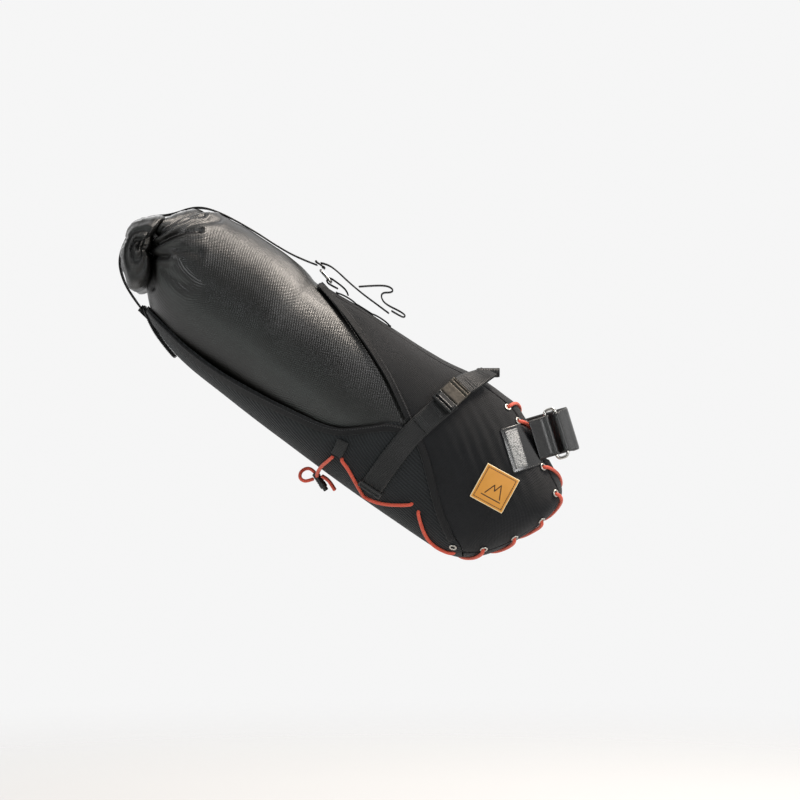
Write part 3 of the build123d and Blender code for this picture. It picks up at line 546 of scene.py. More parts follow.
def fabric(name, dark, light, spacing, turn, inputs, ribs=False, relief=0.0004):
    """Woven cloth: two sine waves at right angles, a thread apart, multiplied for a plain weave or
    added for ribs. They shade between two colours and raise the face; noise gives slow patches."""
    material, tree, shader = finish_of(name, inputs)
    uv_map = add(tree, "ShaderNodeUVMap", {}, uv_map="cloth")
    scale = 2 * math.pi / spacing
    mapping = add(tree, "ShaderNodeMapping", {
        "Vector": uv_map.outputs[0], "Rotation": (0, 0, math.radians(turn)), "Scale": (scale, scale, 1)})
    split = add(tree, "ShaderNodeSeparateXYZ", {"Vector": mapping.outputs[0]})
    warp = add(tree, "ShaderNodeMath", {0: split.outputs["X"]}, operation="SINE")
    weft = add(tree, "ShaderNodeMath", {0: split.outputs["Y"]}, operation="SINE")
    if ribs:
        soft = add(tree, "ShaderNodeMath", {0: warp.outputs[0], 1: 0.3}, operation="MULTIPLY")
        threads = add(tree, "ShaderNodeMath", {0: soft.outputs[0], 1: weft.outputs[0]}, operation="ADD")
    else:
        threads = add(tree, "ShaderNodeMath", {0: warp.outputs[0], 1: weft.outputs[0]}, operation="MULTIPLY")
    coords = add(tree, "ShaderNodeTexCoord", {})
    spot = coords.outputs["Object"]
    patches = add(tree, "ShaderNodeTexNoise", {"Vector": spot, "Scale": 45.0, "Detail": 4.0})
    fuzz = add(tree, "ShaderNodeTexNoise", {"Vector": spot, "Scale": 900.0, "Detail": 2.0})
    shade = add(tree, "ShaderNodeMath", {0: threads.outputs[0], 1: 0.28, 2: 0.1}, operation="MULTIPLY_ADD")
    shade = add(tree, "ShaderNodeMath", {0: patches.outputs["Fac"], 1: 0.5, 2: shade.outputs[0]},
                operation="MULTIPLY_ADD")
    shade = add(tree, "ShaderNodeMath", {0: fuzz.outputs["Fac"], 1: 0.35, 2: shade.outputs[0]},
                operation="MULTIPLY_ADD", use_clamp=True)
    ramp = add(tree, "ShaderNodeValToRGB", {"Fac": shade.outputs[0]})
    ramp.color_ramp.elements[0].color = linear(dark)
    ramp.color_ramp.elements[1].color = linear(light)
    height = add(tree, "ShaderNodeMath", {0: fuzz.outputs["Fac"], 1: 0.6, 2: threads.outputs[0]},
                 operation="MULTIPLY_ADD")
    bump = add(tree, "ShaderNodeBump", {"Height": height.outputs[0], "Strength": 0.7, "Distance": relief})
    tree.links.new(ramp.outputs["Color"], shader.inputs["Base Color"])
    tree.links.new(bump.outputs["Normal"], shader.inputs["Normal"])
    return material


# 1000-denier nylon: matt, with a fine pebbled weave and a dusty sheen where it turns away. Its threads
# are 0.6 mm apart, drawn at 2.4 mm so that they show.
pack_cloth = fabric("black_woven_nylon", "#020203", "#1B1C1F", 2.4, 45, {
    "Roughness": 0.7, "Sheen Weight": 0.06, "Sheen Roughness": 0.5, "Specular IOR Level": 0.25},
    relief=0.0006)
# Ribbed stretch nylon for the belly: a little greyer, with ribs along the bag 2.9 mm apart.
belly_cloth = fabric("ribbed_black_nylon", "#040505", "#222527", 2.9, 14, {
    "Roughness": 0.75, "Sheen Weight": 0.06, "Specular IOR Level": 0.25}, ribs=True, relief=0.0004)


PULL_PITCH, PULL_ACROSS = 12.0, (0.9, 0.42)
PULL_CENTRE, PULL_REACH = (52, -78), (52, 62)


def cloth_relief(points):
    """Slow billows all over, and soft pulls parallel to the seatpost between the rail strap and the
    nose, where the cloth is drawn tight: sin(2π·distance/PULL_PITCH) inside a smooth window."""
    u, v, w = np.moveaxis(points, -1, 0)
    world = to_world(points) * 1000
    across = world[..., 0] * PULL_ACROSS[0] + world[..., 2] * PULL_ACROSS[1]
    along, up = (u - PULL_CENTRE[0]) / PULL_REACH[0], (w - PULL_CENTRE[1]) / PULL_REACH[1]
    window = np.exp(-along ** 2 - up ** 2)
    pulls = np.sin(2 * np.pi * across / PULL_PITCH + 1.6 * crumple(u, w, 90, 3))
    pulls = pulls * (0.75 + 0.5 * crumple(u, w, 60, 8))
    return 0.75 * pulls * window + 0.9 * crumple(u + 0.4 * v, w, 95, 5)


rows, columns = 170, 70
REAR_TIP_HEIGHT, NOSE_RISE = -15.4, HOLSTER[:8]  # the nose's stations, where the half width only grows
rear_end = float(np.interp(REAR_TIP_HEIGHT, FRONT_EDGE[:, 1], FRONT_EDGE[:, 0]))
nose_start = float(np.interp(NOSE_BAND + 0.4, NOSE_RISE[:, 3], NOSE_RISE[:, 0]))
u = (nose_start + (rear_end - nose_start) * np.linspace(0, 1, rows) ** 1.4)[:, None]
front_edge = smooth_curve(u, FRONT_EDGE[:, 0], FRONT_EDGE[:, 1])
lower = np.maximum(edge_angle(u, front_edge), -band_angle(u, NOSE_BAND))
upper = np.maximum(band_angle(u, NOSE_BAND), lower)
side_faces = section_point(HOLSTER, u, lower + (upper - lower) * np.linspace(0, 1, columns)[None])
side_normals = outward(HOLSTER, side_faces)
side_faces = side_faces + side_normals * (cloth_relief(side_faces) - SKIN)[..., None]
side_panel = slab(side_faces, side_normals, SKIN, 0.0, 1.0)
place("side_cloth_right", side_panel, pack_cloth, "root", "holster_cloth", ["side_panel_right"])
place("side_cloth_left", mirrored(side_panel), pack_cloth, "root", "holster_cloth", ["side_panel_left"])

v = np.linspace(-NOSE_BAND, NOSE_BAND, 40)[None]
NOSE_TOP, NOSE_END = -33, 241.0  # the nose strip's upper edge as a height, its lower as an angle
first_angle = math.degrees(math.atan2(NOSE_TOP - NOSE_CENTRE[1], NOSE_SPLIT - NOSE_CENTRE[0]))
angle = np.linspace(first_angle, NOSE_END, 90)[:, None]
nose_faces = nose_point(angle, v, 0.0)
nose_normals = outward(HOLSTER, nose_faces)
nose_height = SKIN + 0.3 * crumple(angle, v, 40, 6)
nose_strip = slab(nose_faces - nose_normals * SKIN, nose_normals, nose_height, 0.0, 1.0)
place("nose_cloth", nose_strip, pack_cloth, "root", "holster_cloth", ["nose_gusset"])


def crown(u, v, side=1.0):
    """Height of the holster's top at station u and width v, or of its bottom with side -1."""
    half, middle, height = section_at(HOLSTER, u)
    return middle + side * height * (1 - np.abs(v / half) ** SECTION_POWER) ** (1 / SECTION_POWER)


FLAP_TIP = 322.0
flap_end = np.interp(crown(np.array([[FLAP_TIP]]), v), FRONT_EDGE[:, 1], FRONT_EDGE[:, 0])
u = NOSE_SPLIT + (flap_end - NOSE_SPLIT) * np.linspace(0, 1, 140)[:, None]
top_faces = points_of(u, v, crown(u, v))
top_normals = outward(HOLSTER, top_faces)
top_faces = top_faces + top_normals * (cloth_relief(top_faces) * 0.6 - SKIN)[..., None]
place("top_cloth", slab(top_faces, top_normals, SKIN, 0.0, 1.0), pack_cloth, "root", "holster_cloth",
      ["top_flap"])

HINGE_STATION, HINGE_HEIGHT, BEND_REACH, BELLY_START = 405.0, -173, 22, 11.0
TAIL_BEND = [(HINGE_STATION - BEND_REACH, 0, HINGE_HEIGHT), (HINGE_STATION + BEND_REACH, 0, HINGE_HEIGHT)]
u = (BELLY_START + (HOLSTER[-1, 0] - BELLY_START) * np.linspace(0, 1, 200))[:, None]
right = edge_angle(u, smooth_curve(u, BELLY_EDGE[:, 0], BELLY_EDGE[:, 1]))
angle = right + (-np.pi - 2 * right) * np.linspace(0, 1, 150)[None]
belly_faces = section_point(HOLSTER, u, angle)
belly_normals = outward(HOLSTER, belly_faces)
billow = 0.8 * crumple(belly_faces[..., 0], belly_faces[..., 1], 110, 12)
belly_faces = belly_faces + belly_normals * (billow - BELLY_SKIN)[..., None]
place("belly_cloth_panel", slab(belly_faces, belly_normals, BELLY_SKIN, 0.0, 1.2), belly_cloth, "root",
      "belly_cloth", ["belly_panel", "belly_tail"], bends=["tail", *TAIL_BEND])

# ================================================================ dry bag
# Roll-top bag of coated ripstop nylon, filled tight. Its seams are welded, so it shows none; the
# mouth is pressed flat and rolled over a plastic strip, which pleats the bag's rear end.
DRY_BAG = np.array([
    (48, -70, -120, 30), (56, -45, -150, 47), (75, -25, -172, 57), (107, -16, -182, 63),
    (160, -14.8, -180, 69), (220, -14.8, -177, 73.5), (260, -14.8, -175, 76.5), (312, -14.9, -171.4, 78.8),
    (325, -14.6, -170.4, 79.6), (336, -11.5, -169.8, 80.3), (350, -8.8, -169.5, 80.8),
    (380, -6.8, -169.4, 81),
    (420, -7.3, -166, 81.5), (440, -9.5, -158.5, 82), (464, -13, -143.5, 82), (476, -18.5, -131, 81),
    (486, -25, -112, 80), (494, -34, -94, 78), (500, -44, -76, 76),
], float)
# pleats at the rear, seen from the side: route, depth and half width in mm
PLEATS = [
    ([(466, -12), (476, -22), (486, -36), (494, -55), (499, -75)], 4.2, 2.4),
    ([(468, -24), (478, -33), (488, -52), (495, -70)], 3.2, 1.8),
    ([(461, -40), (473, -50), (484, -66), (492, -80)], 3.6, 2.2),
    ([(474, -84), (482, -90), (493, -94)], 4.2, 2.6),
    ([(452, -18), (466, -32), (478, -50), (487, -70)], 1.8, 2.8),
    ([(470, -122), (479, -108), (487, -97)], 2.4, 3.2),
    ([(448, -62), (466, -70), (482, -80)], 1.5, 4.0),
    ([(440, -100), (462, -100), (484, -94)], 1.2, 5.0),
]


def route_distance(x, y, route):
    """Distance of each point to a line of straight runs."""
    nearest = np.full(np.shape(x), 1e9)
    for (ax, ay), (bx, by) in zip(route, route[1:]):
        run = (bx - ax) ** 2 + (by - ay) ** 2
        t = np.clip(((x - ax) * (bx - ax) + (y - ay) * (by - ay)) / run, 0, 1)
        nearest = np.minimum(nearest, np.hypot(x - ax - t * (bx - ax), y - ay - t * (by - ay)))
    return nearest


# Polyurethane-coated ripstop: near black, with a satin coat over a square grid of threads, drawn at
# 2.7 mm so that it shows.
coated_cloth = fabric("coated_ripstop_nylon", "#010101", "#191816", 2.7, 0, {
    "Roughness": 0.34, "Coat Weight": 0.1, "Coat Roughness": 0.25, "Specular IOR Level": 0.55}, relief=0.0002)

rows, columns = 300, 220
u = DRY_BAG[0, 0] + (DRY_BAG[-1, 0] - DRY_BAG[0, 0]) * (1 - (1 - np.linspace(0, 1, rows)) ** 1.35)[:, None]
angle = np.linspace(0, 2 * np.pi, columns + 1)[None, :-1]
bag_faces = section_point(DRY_BAG, u, angle)
bag_normals = outward(DRY_BAG, bag_faces)
side_u, side_w = bag_faces[..., 0], bag_faces[..., 2]
relief = 0.9 * crumple(side_u, side_w + 0.5 * bag_faces[..., 1], 120, 21)
for route, depth, width in PLEATS:
    distance = route_distance(side_u, side_w, route)
    relief = relief - depth * np.exp(-(distance / width) ** 2)
    relief = relief + 0.35 * depth * np.exp(-((distance - 2.4 * width) / (1.4 * width)) ** 2)
MOUTH_START, MOUTH_LENGTH = 470, 30
mouth = np.clip((side_u - MOUTH_START) / MOUTH_LENGTH, 0, 1)
relief = relief + 1.1 * mouth * crumple(side_u * 2, bag_faces[..., 1], 34, 23)


def domed(faces):
    """The tube of faces with its two ends drawn in to shallow domes."""
    ends = []
    for row, sign in ((faces[0], -1), (faces[-1], 1)):
        centre = row.mean(0)
        ends.append(np.array([centre + (row - centre) * s + [sign * 4 * (1 - s), 0, 0]
                              for s in (0.98, 0.9, 0.6, 0.3, 0.001)]))
    return np.concatenate([ends[0][::-1], faces, ends[1]])


even_faces = domed(bag_faces)
along = run_length(even_faces, 0)
across = run_length(np.concatenate([even_faces, even_faces[:, :1]], 1), 1)
along = np.concatenate([along, along[:, :1]], 1)
bag_faces = domed(bag_faces + bag_normals * relief[..., None])
dry_bag_part = grid(bag_faces, np.stack([along, across], -1), around=True)
dry_bag_cloth = place("dry_bag_shell", dry_bag_part, coated_cloth, "dry_bag", "dry_bag_cloth", ["dry_bag"])

# The rolled mouth is pressed flat and its ends crumple shut; the last turn's edge shows as a step.
ROLL_CENTRE, ROLL_HALF = (508.0, -92.0), 91.0
ROLL_OUTLINE = np.array([(504, -50.5), (520, -60.5), (529, -71), (526.5, -97), (518.5, -116.5), (503.5, -130),
                         (487.5, -139), (482.5, -135.5), (497, -92), (502.5, -76)], float)
offset = ROLL_OUTLINE - ROLL_CENTRE
heading = np.degrees(np.arctan2(offset[:, 1], offset[:, 0])) % 360
order = np.argsort(heading)
knots, reach = heading[order], np.hypot(*offset.T)[order]
knots = np.concatenate([knots - 360, knots, knots + 360])
reach = np.tile(reach, 3)
angle = np.linspace(0, 360, 240, endpoint=False)[None]
outline = smooth_curve(angle, knots, reach)
v = (ROLL_HALF * np.sin(np.linspace(-np.pi / 2, np.pi / 2, 200)))[:, None]
ends = np.abs(v) / ROLL_HALF
close = (1 - ends ** 9) ** 0.55
edge_step = 1.5 / (1 + np.exp(-(angle - 62 - 6 * crumple(v, v * 0, 50, 40)) * 1.2)) * (angle < 200)
crease = 1.7 * crumple(angle * 0.45, v, 46, 31) + 1.1 * crumple(angle * 0.45, v, 17, 32)
crease = crease + (0.3 + ends ** 6) * 1.6 * np.abs(crumple(angle * 0.5, v * 0.4, 11, 35))
held = np.exp(-(v / 17.0) ** 4)
radius = (outline - 2.6 + edge_step + crease + 1.2 * (1 - held) - 1.0 * held) * close + 1e-3
turns = np.sign(v) * 2.4 * np.sin(2 * np.pi * (3.2 * close + angle / 360)) * (1 - close) ** 0.4
roll_faces = points_of(
    ROLL_CENTRE[0] + radius * np.cos(np.radians(angle)),
    v + turns + 1.4 * (1 - close) * crumple(angle * 0.4, v * 0, 21, 33),
    ROLL_CENTRE[1] + radius * np.sin(np.radians(angle)))
ring = np.concatenate([roll_faces, roll_faces[:, :1]], 1)
lengths = run_length(roll_faces, 0)
uv = np.stack([np.concatenate([lengths, lengths[:, :1]], 1), run_length(ring, 1)], -1)
place("rolled_mouth", grid(roll_faces, uv, around=True), coated_cloth, "dry_bag", "dry_bag_cloth",
      ["roll_closure"])

# The strips inside, polyethylene sheet: one stiffens the belly, the other is sewn in the mouth.
sheet_plastic, tree, shader = finish_of("polyethylene_sheet", {"Roughness": 0.45, "IOR": 1.51})
shader.inputs["Base Color"].default_value = linear("#17181A")
coords = add(tree, "ShaderNodeTexCoord", {})
haze = add(tree, "ShaderNodeTexNoise", {"Vector": coords.outputs["Object"], "Scale": 300.0})
bump = add(tree, "ShaderNodeBump", {"Height": haze.outputs["Fac"], "Strength": 0.1, "Distance": 0.0003})
tree.links.new(bump.outputs["Normal"], shader.inputs["Normal"])
for node in ("stiffener_plate", "closure_stiffener"):
    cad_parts[node].material_slots[0].material = sheet_plastic

# ================================================================ edge tapes and sewing
# Folded grosgrain tape closes the cut edges of the flap and the belly, and a soft fold of cloth covers
# the seam in front of the belly. Each is sewn down with bonded thread, a stitch every 3 mm.


def lay_on_side(centre, width, gap, above, below, wander=0.0, rows=120, columns=15, reach=0.9):
    """A strip that follows the right side: a smooth side-view line widened across, on the face."""
    line = smooth_route([(u, 0.0, w) for u, w in centre])[:, ::2]
    lengths = run_length(line)
    at = np.linspace(0, lengths[-1], rows)
    line = np.stack([np.interp(at, lengths, line[:, k]) for k in (0, 1)], -1)
    run = np.gradient(line, axis=0)
    run /= np.linalg.norm(run, axis=1, keepdims=True)
    across = np.linspace(-width / 2, width / 2, columns)
    u = line[:, :1] - run[:, 1:] * across
    w = line[:, 1:] + run[:, :1] * across
    middle = side_point(u, w, gap + wander * crumple(u, w, 30, 51))
    return slab(middle, outward(HOLSTER, middle), above, below, reach), middle


def resample(line, pitch):
    """Points every pitch along a line, and the direction at each."""
    lengths = run_length(line)
    at = np.arange(pitch / 2, lengths[-1], pitch)
    points = np.stack([np.interp(at, lengths, line[:, k]) for k in range(3)], -1)
    ahead = np.stack([np.interp(at + 0.2, lengths, line[:, k]) for k in range(3)], -1) - points
    return points, ahead / np.maximum(np.linalg.norm(ahead, axis=1, keepdims=True), 1e-9)


def stitches(lines, pitch=3.0, thread=0.42, table=HOLSTER, normal=None):
    """Rows of short threads: each an ellipsoid, 0.7 of the pitch long, lying along its line."""
    t, turn = np.linspace(0, np.pi, 6)[:, None], np.linspace(0, 2 * np.pi, 7)[None]
    shape = points_of(-np.cos(t), np.sin(t) * np.cos(turn), np.sin(t) * np.sin(turn))[:, :-1]
    parts = []
    for line in lines:
        points, ahead = resample(np.asarray(line, float), pitch)
        up = np.broadcast_to(normal, points.shape) if normal is not None else outward(table, points)
        side = np.cross(up, ahead)
        for point, x, y, z in zip(points, ahead * pitch * 0.36, side * thread, up * thread * 0.8):
            body = point + shape[..., :1] * x + shape[..., 1:2] * y + shape[..., 2:] * z
            parts.append(grid(body, np.zeros((6, 7, 2)), around=True))
    return joined(parts)


# Bonded nylon thread: smooth, a little glossier than the cloth it lies on.
thread_nylon, tree, shader = finish_of("bonded_black_thread", {"Roughness": 0.5, "Sheen Weight": 0.2})
coords = add(tree, "ShaderNodeTexCoord", {})
haze = add(tree, "ShaderNodeTexNoise", {"Vector": coords.outputs["Object"], "Scale": 2000.0})
ramp = add(tree, "ShaderNodeValToRGB", {"Fac": haze.outputs["Fac"]})
ramp.color_ramp.elements[0].color, ramp.color_ramp.elements[1].color = linear("#060607"), linear("#232427")
tree.links.new(ramp.outputs["Color"], shader.inputs["Base Color"])
# Grosgrain tape: fine cross ribs 1.6 mm apart, matt and very dark.
tape = fabric("black_grosgrain_tape", "#030303", "#141416", 1.6, 0, {
    "Roughness": 0.65, "Sheen Weight": 0.06, "Specular IOR Level": 0.25}, ribs=True, relief=0.0003)

FLAP_TAPE = [(320, -14), (300, -18.5), (258, -31.0), (204, -53.0), (176, -68.5), (151, -84)]
flap_tape, flap_middle = lay_on_side(FLAP_TAPE, 7.0, 0.6, 0.75, 0.55, 0.1)
place("flap_edge_tape", both_sides(flap_tape), tape, "root", "binding_tape", ["flap_binding"])
BELLY_TAPE = [(474, -149.5), (448, -153), (400, -161.5), (360, -163.2), (307, -159.5), (257, -152.5),
              (232, -148.5), (208, -140.5), (184, -121), (160, -99.5), (140, -97)]
belly_tape, belly_middle = lay_on_side(BELLY_TAPE, 8.0, 0.65, 1.1, 0.6, 0.35, rows=260)
place("belly_edge_tape", both_sides(belly_tape), tape, "root", "binding_tape",
      ["belly_binding", "tail_binding"], bends=["tail", *TAIL_BEND])
WING_FOLD = [(148, -88), (124, -99), (91, -128), (57, -158), (34, -170)]
wing_fold, _ = lay_on_side(WING_FOLD, 8.5, 0.5, 1.9, 0.5, 0.7, columns=21, reach=3.6)
place("wing_front_fold", both_sides(wing_fold), tape, "root", "holster_cloth")

seams = []
for middle, column, lift in ((flap_middle, 3, 0.85), (belly_middle, 3, 1.15)):
    line = middle[:, column]
    seams.append(line + outward(HOLSTER, line) * lift)
sewn = stitches(seams)
place("edge_stitching", both_sides(sewn), thread_nylon, "root", "binding_tape", bends=["tail", *TAIL_BEND])
FLAP_SEAM = [(294, -23), (256, -37.5), (203, -61.5), (152, -93)]
_, seam = lay_on_side(FLAP_SEAM, 2.0, 0.35, 0.2, 0.1)
second = stitches([seam[:, 7]], 2.8, 0.34)
place("flap_stitching", both_sides(second), thread_nylon, "root", "holster_cloth")

# ================================================================ nose lacing
# Nickel-plated brass eyelets are pressed into both side panels, and a single cord is laced over the
# nose strip from a right eyelet to the next left one, then back inside.
EYELET_ANGLES = [86, 99, 142, 160, 180, 202, 226, 249]
EYELET_OFFSET, EYELET_OUTER, EYELET_BORE, EYELET_LIFT, EYELET_THICK = 32.0, 4.4, 2.4, 0.5, 1.0
eyelet_metal, tree, shader = finish_of("pressed_nickel_brass", {"Metallic": 1.0, "Roughness": 0.3})
shader.inputs["Base Color"].default_value = linear("#BDB9B1")
coords = add(tree, "ShaderNodeTexCoord", {})
wear = add(tree, "ShaderNodeTexNoise", {"Vector": coords.outputs["Object"], "Scale": 500.0, "Detail": 4.0})
spread = add(tree, "ShaderNodeMapRange", {"Value": wear.outputs["Fac"], "To Min": 0.18, "To Max": 0.42})
tree.links.new(spread.outputs["Result"], shader.inputs["Roughness"])
rolled = np.linspace(0, 2 * np.pi, 17)[:-1]
ring_middle, ring_half = (EYELET_OUTER + EYELET_BORE) / 2, (EYELET_OUTER - EYELET_BORE) / 2
rings = []
for angle in EYELET_ANGLES:
    spot = nose_point(angle, EYELET_OFFSET, EYELET_LIFT + EYELET_THICK / 2)
    normal = outward(HOLSTER, spot)
    profile = [(0.75 * math.sin(a), ring_middle + ring_half * math.cos(a)) for a in rolled]
    rings.append(turned_part(spot, normal, profile + profile[:1], 36))
rings = joined(rings)
place("eyelet_rings_right", rings, eyelet_metal, "root", "eyelet_metal", ["eyelets_right"])
place("eyelet_rings_left", mirrored(rings), eyelet_metal, "root", "eyelet_metal", ["eyelets_left"])

laces = []
for first, second in zip(EYELET_ANGLES, EYELET_ANGLES[1:]):
    steps = [(0.0, 32.0, -5.4), (0.02, 31.8, 2.2), (0.08, 28.5, 3.6), (0.18, 22, 3.0), (0.36, 8, 2.0),
             (0.64, -8, 2.0), (0.82, -22, 3.0), (0.92, -28.5, 3.6), (0.98, -31.8, 2.2), (1.0, -32.0, -5.4)]
    route = [nose_point(first + (second - first) * t, v, lift) for t, v, lift in steps]
    laces.append(cord_tube(smooth_route(route), CORD / 2))
place("nose_lace", joined(laces), cord_sleeve, "root", "shock_cord", ["nose_lacing"])

# ================================================================ leather badge
# A 42 mm square of vegetable-tanned leather, sewn round its border, with a plain stamped sign of two
# peaks over a line. Its cut edge is pale and rounded.
LABEL_AT, LABEL_SIZE, LABEL_THICK, LABEL_LIFT = (28.6, -94.6), 42.0, 1.6, 0.5
LABEL_TURN, SEAM_INSET = math.radians(5.0), 3.2
origin = side_point(*LABEL_AT, LABEL_LIFT + LABEL_THICK / 2)
normal = outward(HOLSTER, origin)
up = np.array([0.0, 0.0, 1.0]) - normal * normal[2]
up /= np.linalg.norm(up)
side = np.cross(normal, up)
label_x = up * math.cos(LABEL_TURN) + side * math.sin(LABEL_TURN)
label_y = np.cross(normal, label_x)
BADGE_ROWS = 150
line = np.linspace(-1, 1, BADGE_ROWS) * LABEL_SIZE / 2
x, y = np.meshgrid(line, line, indexing="ij")
PEAKS = [(-9, 8), (3, 2), (-3, -1), (6, -5), (-9, -11)]
GROUND = [(-12, 11), (-12, -13)]
stamp = np.minimum(route_distance(x, y, PEAKS), route_distance(x, y, GROUND))
pressed = np.clip(1 - (stamp / 0.75) ** 4, 0, 1)
border = np.maximum(np.abs(x), np.abs(y))
channel = np.exp(-((border - (LABEL_SIZE / 2 - SEAM_INSET)) / 0.5) ** 2)
top = LABEL_THICK / 2 - 0.45 * pressed - 0.3 * channel + 0.06 * crumple(x, y, 14, 61)
badge_flat = origin + x[..., None] * label_x + y[..., None] * label_y
badge_face = side_point(badge_flat[..., 0], badge_flat[..., 2], LABEL_LIFT + LABEL_THICK / 2)
badge = slab(badge_face, outward(HOLSTER, badge_face), top, LABEL_THICK / 2, 0.7)
PALE_EDGE, EDGE_FADE = 1.1, 0.6
edge = np.clip((border - (LABEL_SIZE / 2 - PALE_EDGE)) / EDGE_FADE, 0, 1)
ink = np.clip(0.9 * pressed + 0.45 * channel, 0, 1) - edge
marks = np.concatenate([ink, np.full((BADGE_ROWS, BADGE_ROWS - 2), -1.0)], 1)
# Vegetable-tanned leather, smooth side out: golden tan, a fine grain, dark in the stamp, pale at the cut.
leather, tree, shader = finish_of("vegetable_tanned_leather", {"Roughness": 0.55, "Specular IOR Level": 0.4})
coords = add(tree, "ShaderNodeTexCoord", {})
mark = add(tree, "ShaderNodeAttribute", {}, attribute_name="mark")
grain = add(tree, "ShaderNodeTexVoronoi", {"Vector": coords.outputs["Object"], "Scale": 1500.0})
cloud = add(tree, "ShaderNodeTexNoise", {"Vector": coords.outputs["Object"], "Scale": 90.0, "Detail": 5.0})
tone = add(tree, "ShaderNodeMapRange", {"Value": mark.outputs["Fac"], "From Min": -1.0, "From Max": 1.0})
soft = add(tree, "ShaderNodeMath", {0: cloud.outputs["Fac"], 1: 0.12, 2: tone.outputs["Result"]},
           operation="MULTIPLY_ADD")
ramp = add(tree, "ShaderNodeValToRGB", {"Fac": soft.outputs[0]})
ramp.color_ramp.elements[0].color = linear("#F1DFB8")
ramp.color_ramp.elements[0].position = 0.12
ramp.color_ramp.elements[1].color = linear("#3A2410")
ramp.color_ramp.elements[1].position = 0.95
for position, tint in ((0.45, "#D99C45"), (0.62, "#C88632")):
    ramp.color_ramp.elements.new(position).color = linear(tint)
bump = add(tree, "ShaderNodeBump", {
    "Height": grain.outputs["Distance"], "Strength": 0.25, "Distance": 0.0002})
tree.links.new(ramp.outputs["Color"], shader.inputs["Base Color"])
tree.links.new(bump.outputs["Normal"], shader.inputs["Normal"])
place("leather_badge", badge, leather, "root", "leather", ["label_patch"], marks=marks)
inset = LABEL_SIZE / 2 - SEAM_INSET
corners = [(-inset, -inset), (inset, -inset), (inset, inset), (-inset, inset), (-inset, -inset)]
badge_seams = []
for (ax, ay), (bx, by) in zip(corners, corners[1:]):
    t = np.linspace(0, 1, 20)[:, None]
    flat = np.array([ax, ay]) + t * np.array([bx - ax, by - ay])
    seam = origin + flat[:, :1] * label_x + flat[:, 1:] * label_y
    badge_seams.append(side_point(seam[:, 0], seam[:, 2], LABEL_LIFT + LABEL_THICK - 0.05))
place("badge_stitching", stitches(badge_seams, 2.6, 0.4), thread_nylon, "root", "leather")

# ================================================================ rail straps
# 25 mm nylon webbing runs from a slider bar on each side of the belly up to a two-part buckle, and its
# loose end folds back. The buckle's upper half hangs on a loop sewn round the saddle rail.
STRAP_WIDTH, WEBBING, BINDING = 25.0, 1.6, 1.2


def webbing_cloth(name, dark, light, rib, inputs):
    """Webbing: ribs straight across it, and a coarse chevron along it that breaks them."""
    material, tree, shader = finish_of(name, inputs)
    uv_map = add(tree, "ShaderNodeUVMap", {}, uv_map="cloth")
    split = add(tree, "ShaderNodeSeparateXYZ", {"Vector": uv_map.outputs[0]})
    along = add(tree, "ShaderNodeMath", {0: split.outputs["X"], 1: 2 * math.pi / rib}, operation="MULTIPLY")
    across = add(tree, "ShaderNodeMath", {0: split.outputs["Y"], 1: 2 * math.pi / (rib * 1.3)},
                 operation="MULTIPLY")
    ribs = add(tree, "ShaderNodeMath", {0: along.outputs[0]}, operation="SINE")
    cords = add(tree, "ShaderNodeMath", {0: across.outputs[0]}, operation="SINE")
    weave = add(tree, "ShaderNodeMath", {0: cords.outputs[0], 1: 0.35, 2: ribs.outputs[0]},
                operation="MULTIPLY_ADD")
    coords = add(tree, "ShaderNodeTexCoord", {})
    fuzz = add(tree, "ShaderNodeTexNoise", {
        "Vector": coords.outputs["Object"], "Scale": 700.0, "Detail": 3.0})
    tone = add(tree, "ShaderNodeMath", {0: weave.outputs[0], 1: 0.22, 2: fuzz.outputs["Fac"]},
               operation="MULTIPLY_ADD", use_clamp=True)
    ramp = add(tree, "ShaderNodeValToRGB", {"Fac": tone.outputs[0]})
    ramp.color_ramp.elements[0].color, ramp.color_ramp.elements[1].color = linear(dark), linear(light)
    bump = add(tree, "ShaderNodeBump", {"Height": weave.outputs[0], "Strength": 0.6, "Distance": 0.0003})
    tree.links.new(ramp.outputs["Color"], shader.inputs["Base Color"])
    tree.links.new(bump.outputs["Normal"], shader.inputs["Normal"])
    return material


# Nylon webbing: a satin sheen on close ribs 1.2 mm apart, drawn at 1.9 mm so that they show.
webbing = webbing_cloth("black_nylon_webbing", "#020202", "#171718", 1.9, {
    "Roughness": 0.5, "Sheen Weight": 0.08, "Specular IOR Level": 0.35})
# The seatpost strap is coated against wear: smoother and glossier, with its weave just showing.
coated_webbing = webbing_cloth("coated_black_webbing", "#050505", "#141415", 1.4, {
    "Roughness": 0.3, "Coat Weight": 0.3, "Coat Roughness": 0.25})

RAIL_STRAP = [(143, -176), (143, -158), (142.8, -140), (142, -122), (140, -100), (134.5, -74), (129, -55),
              (124, -40)]
strap_part, _ = lay_on_side(RAIL_STRAP, STRAP_WIDTH, BINDING + 0.1 + WEBBING / 2, WEBBING / 2, WEBBING / 2,
                            0.25, rows=150, columns=21, reach=0.7)
RAIL_FOLD = [(136.5, -84), (133, -68), (128.5, -53), (124, -40)]
fold_part, fold_middle = lay_on_side(RAIL_FOLD, STRAP_WIDTH - 0.6, BINDING + 0.4 + WEBBING * 1.5, WEBBING / 2,
                                     WEBBING / 2, 0.2, rows=60, columns=21, reach=0.7)


def frame_slab(frame_axes, length, width, above, below, reach=0.8, rows=90, columns=90):
    """A hard plate drawn flat: its upper and lower heights over x and y, put in a frame of axes."""
    origin, x_axis, y_axis, z_axis = frame_axes
    x = np.linspace(length[0], length[1], rows)[:, None]
    y = np.linspace(-width / 2, width / 2, columns)[None]
    face = origin + x[..., None] * x_axis + y[..., None] * y_axis
    return slab(face, np.broadcast_to(z_axis, face.shape), above(x, y), below(x, y), reach)


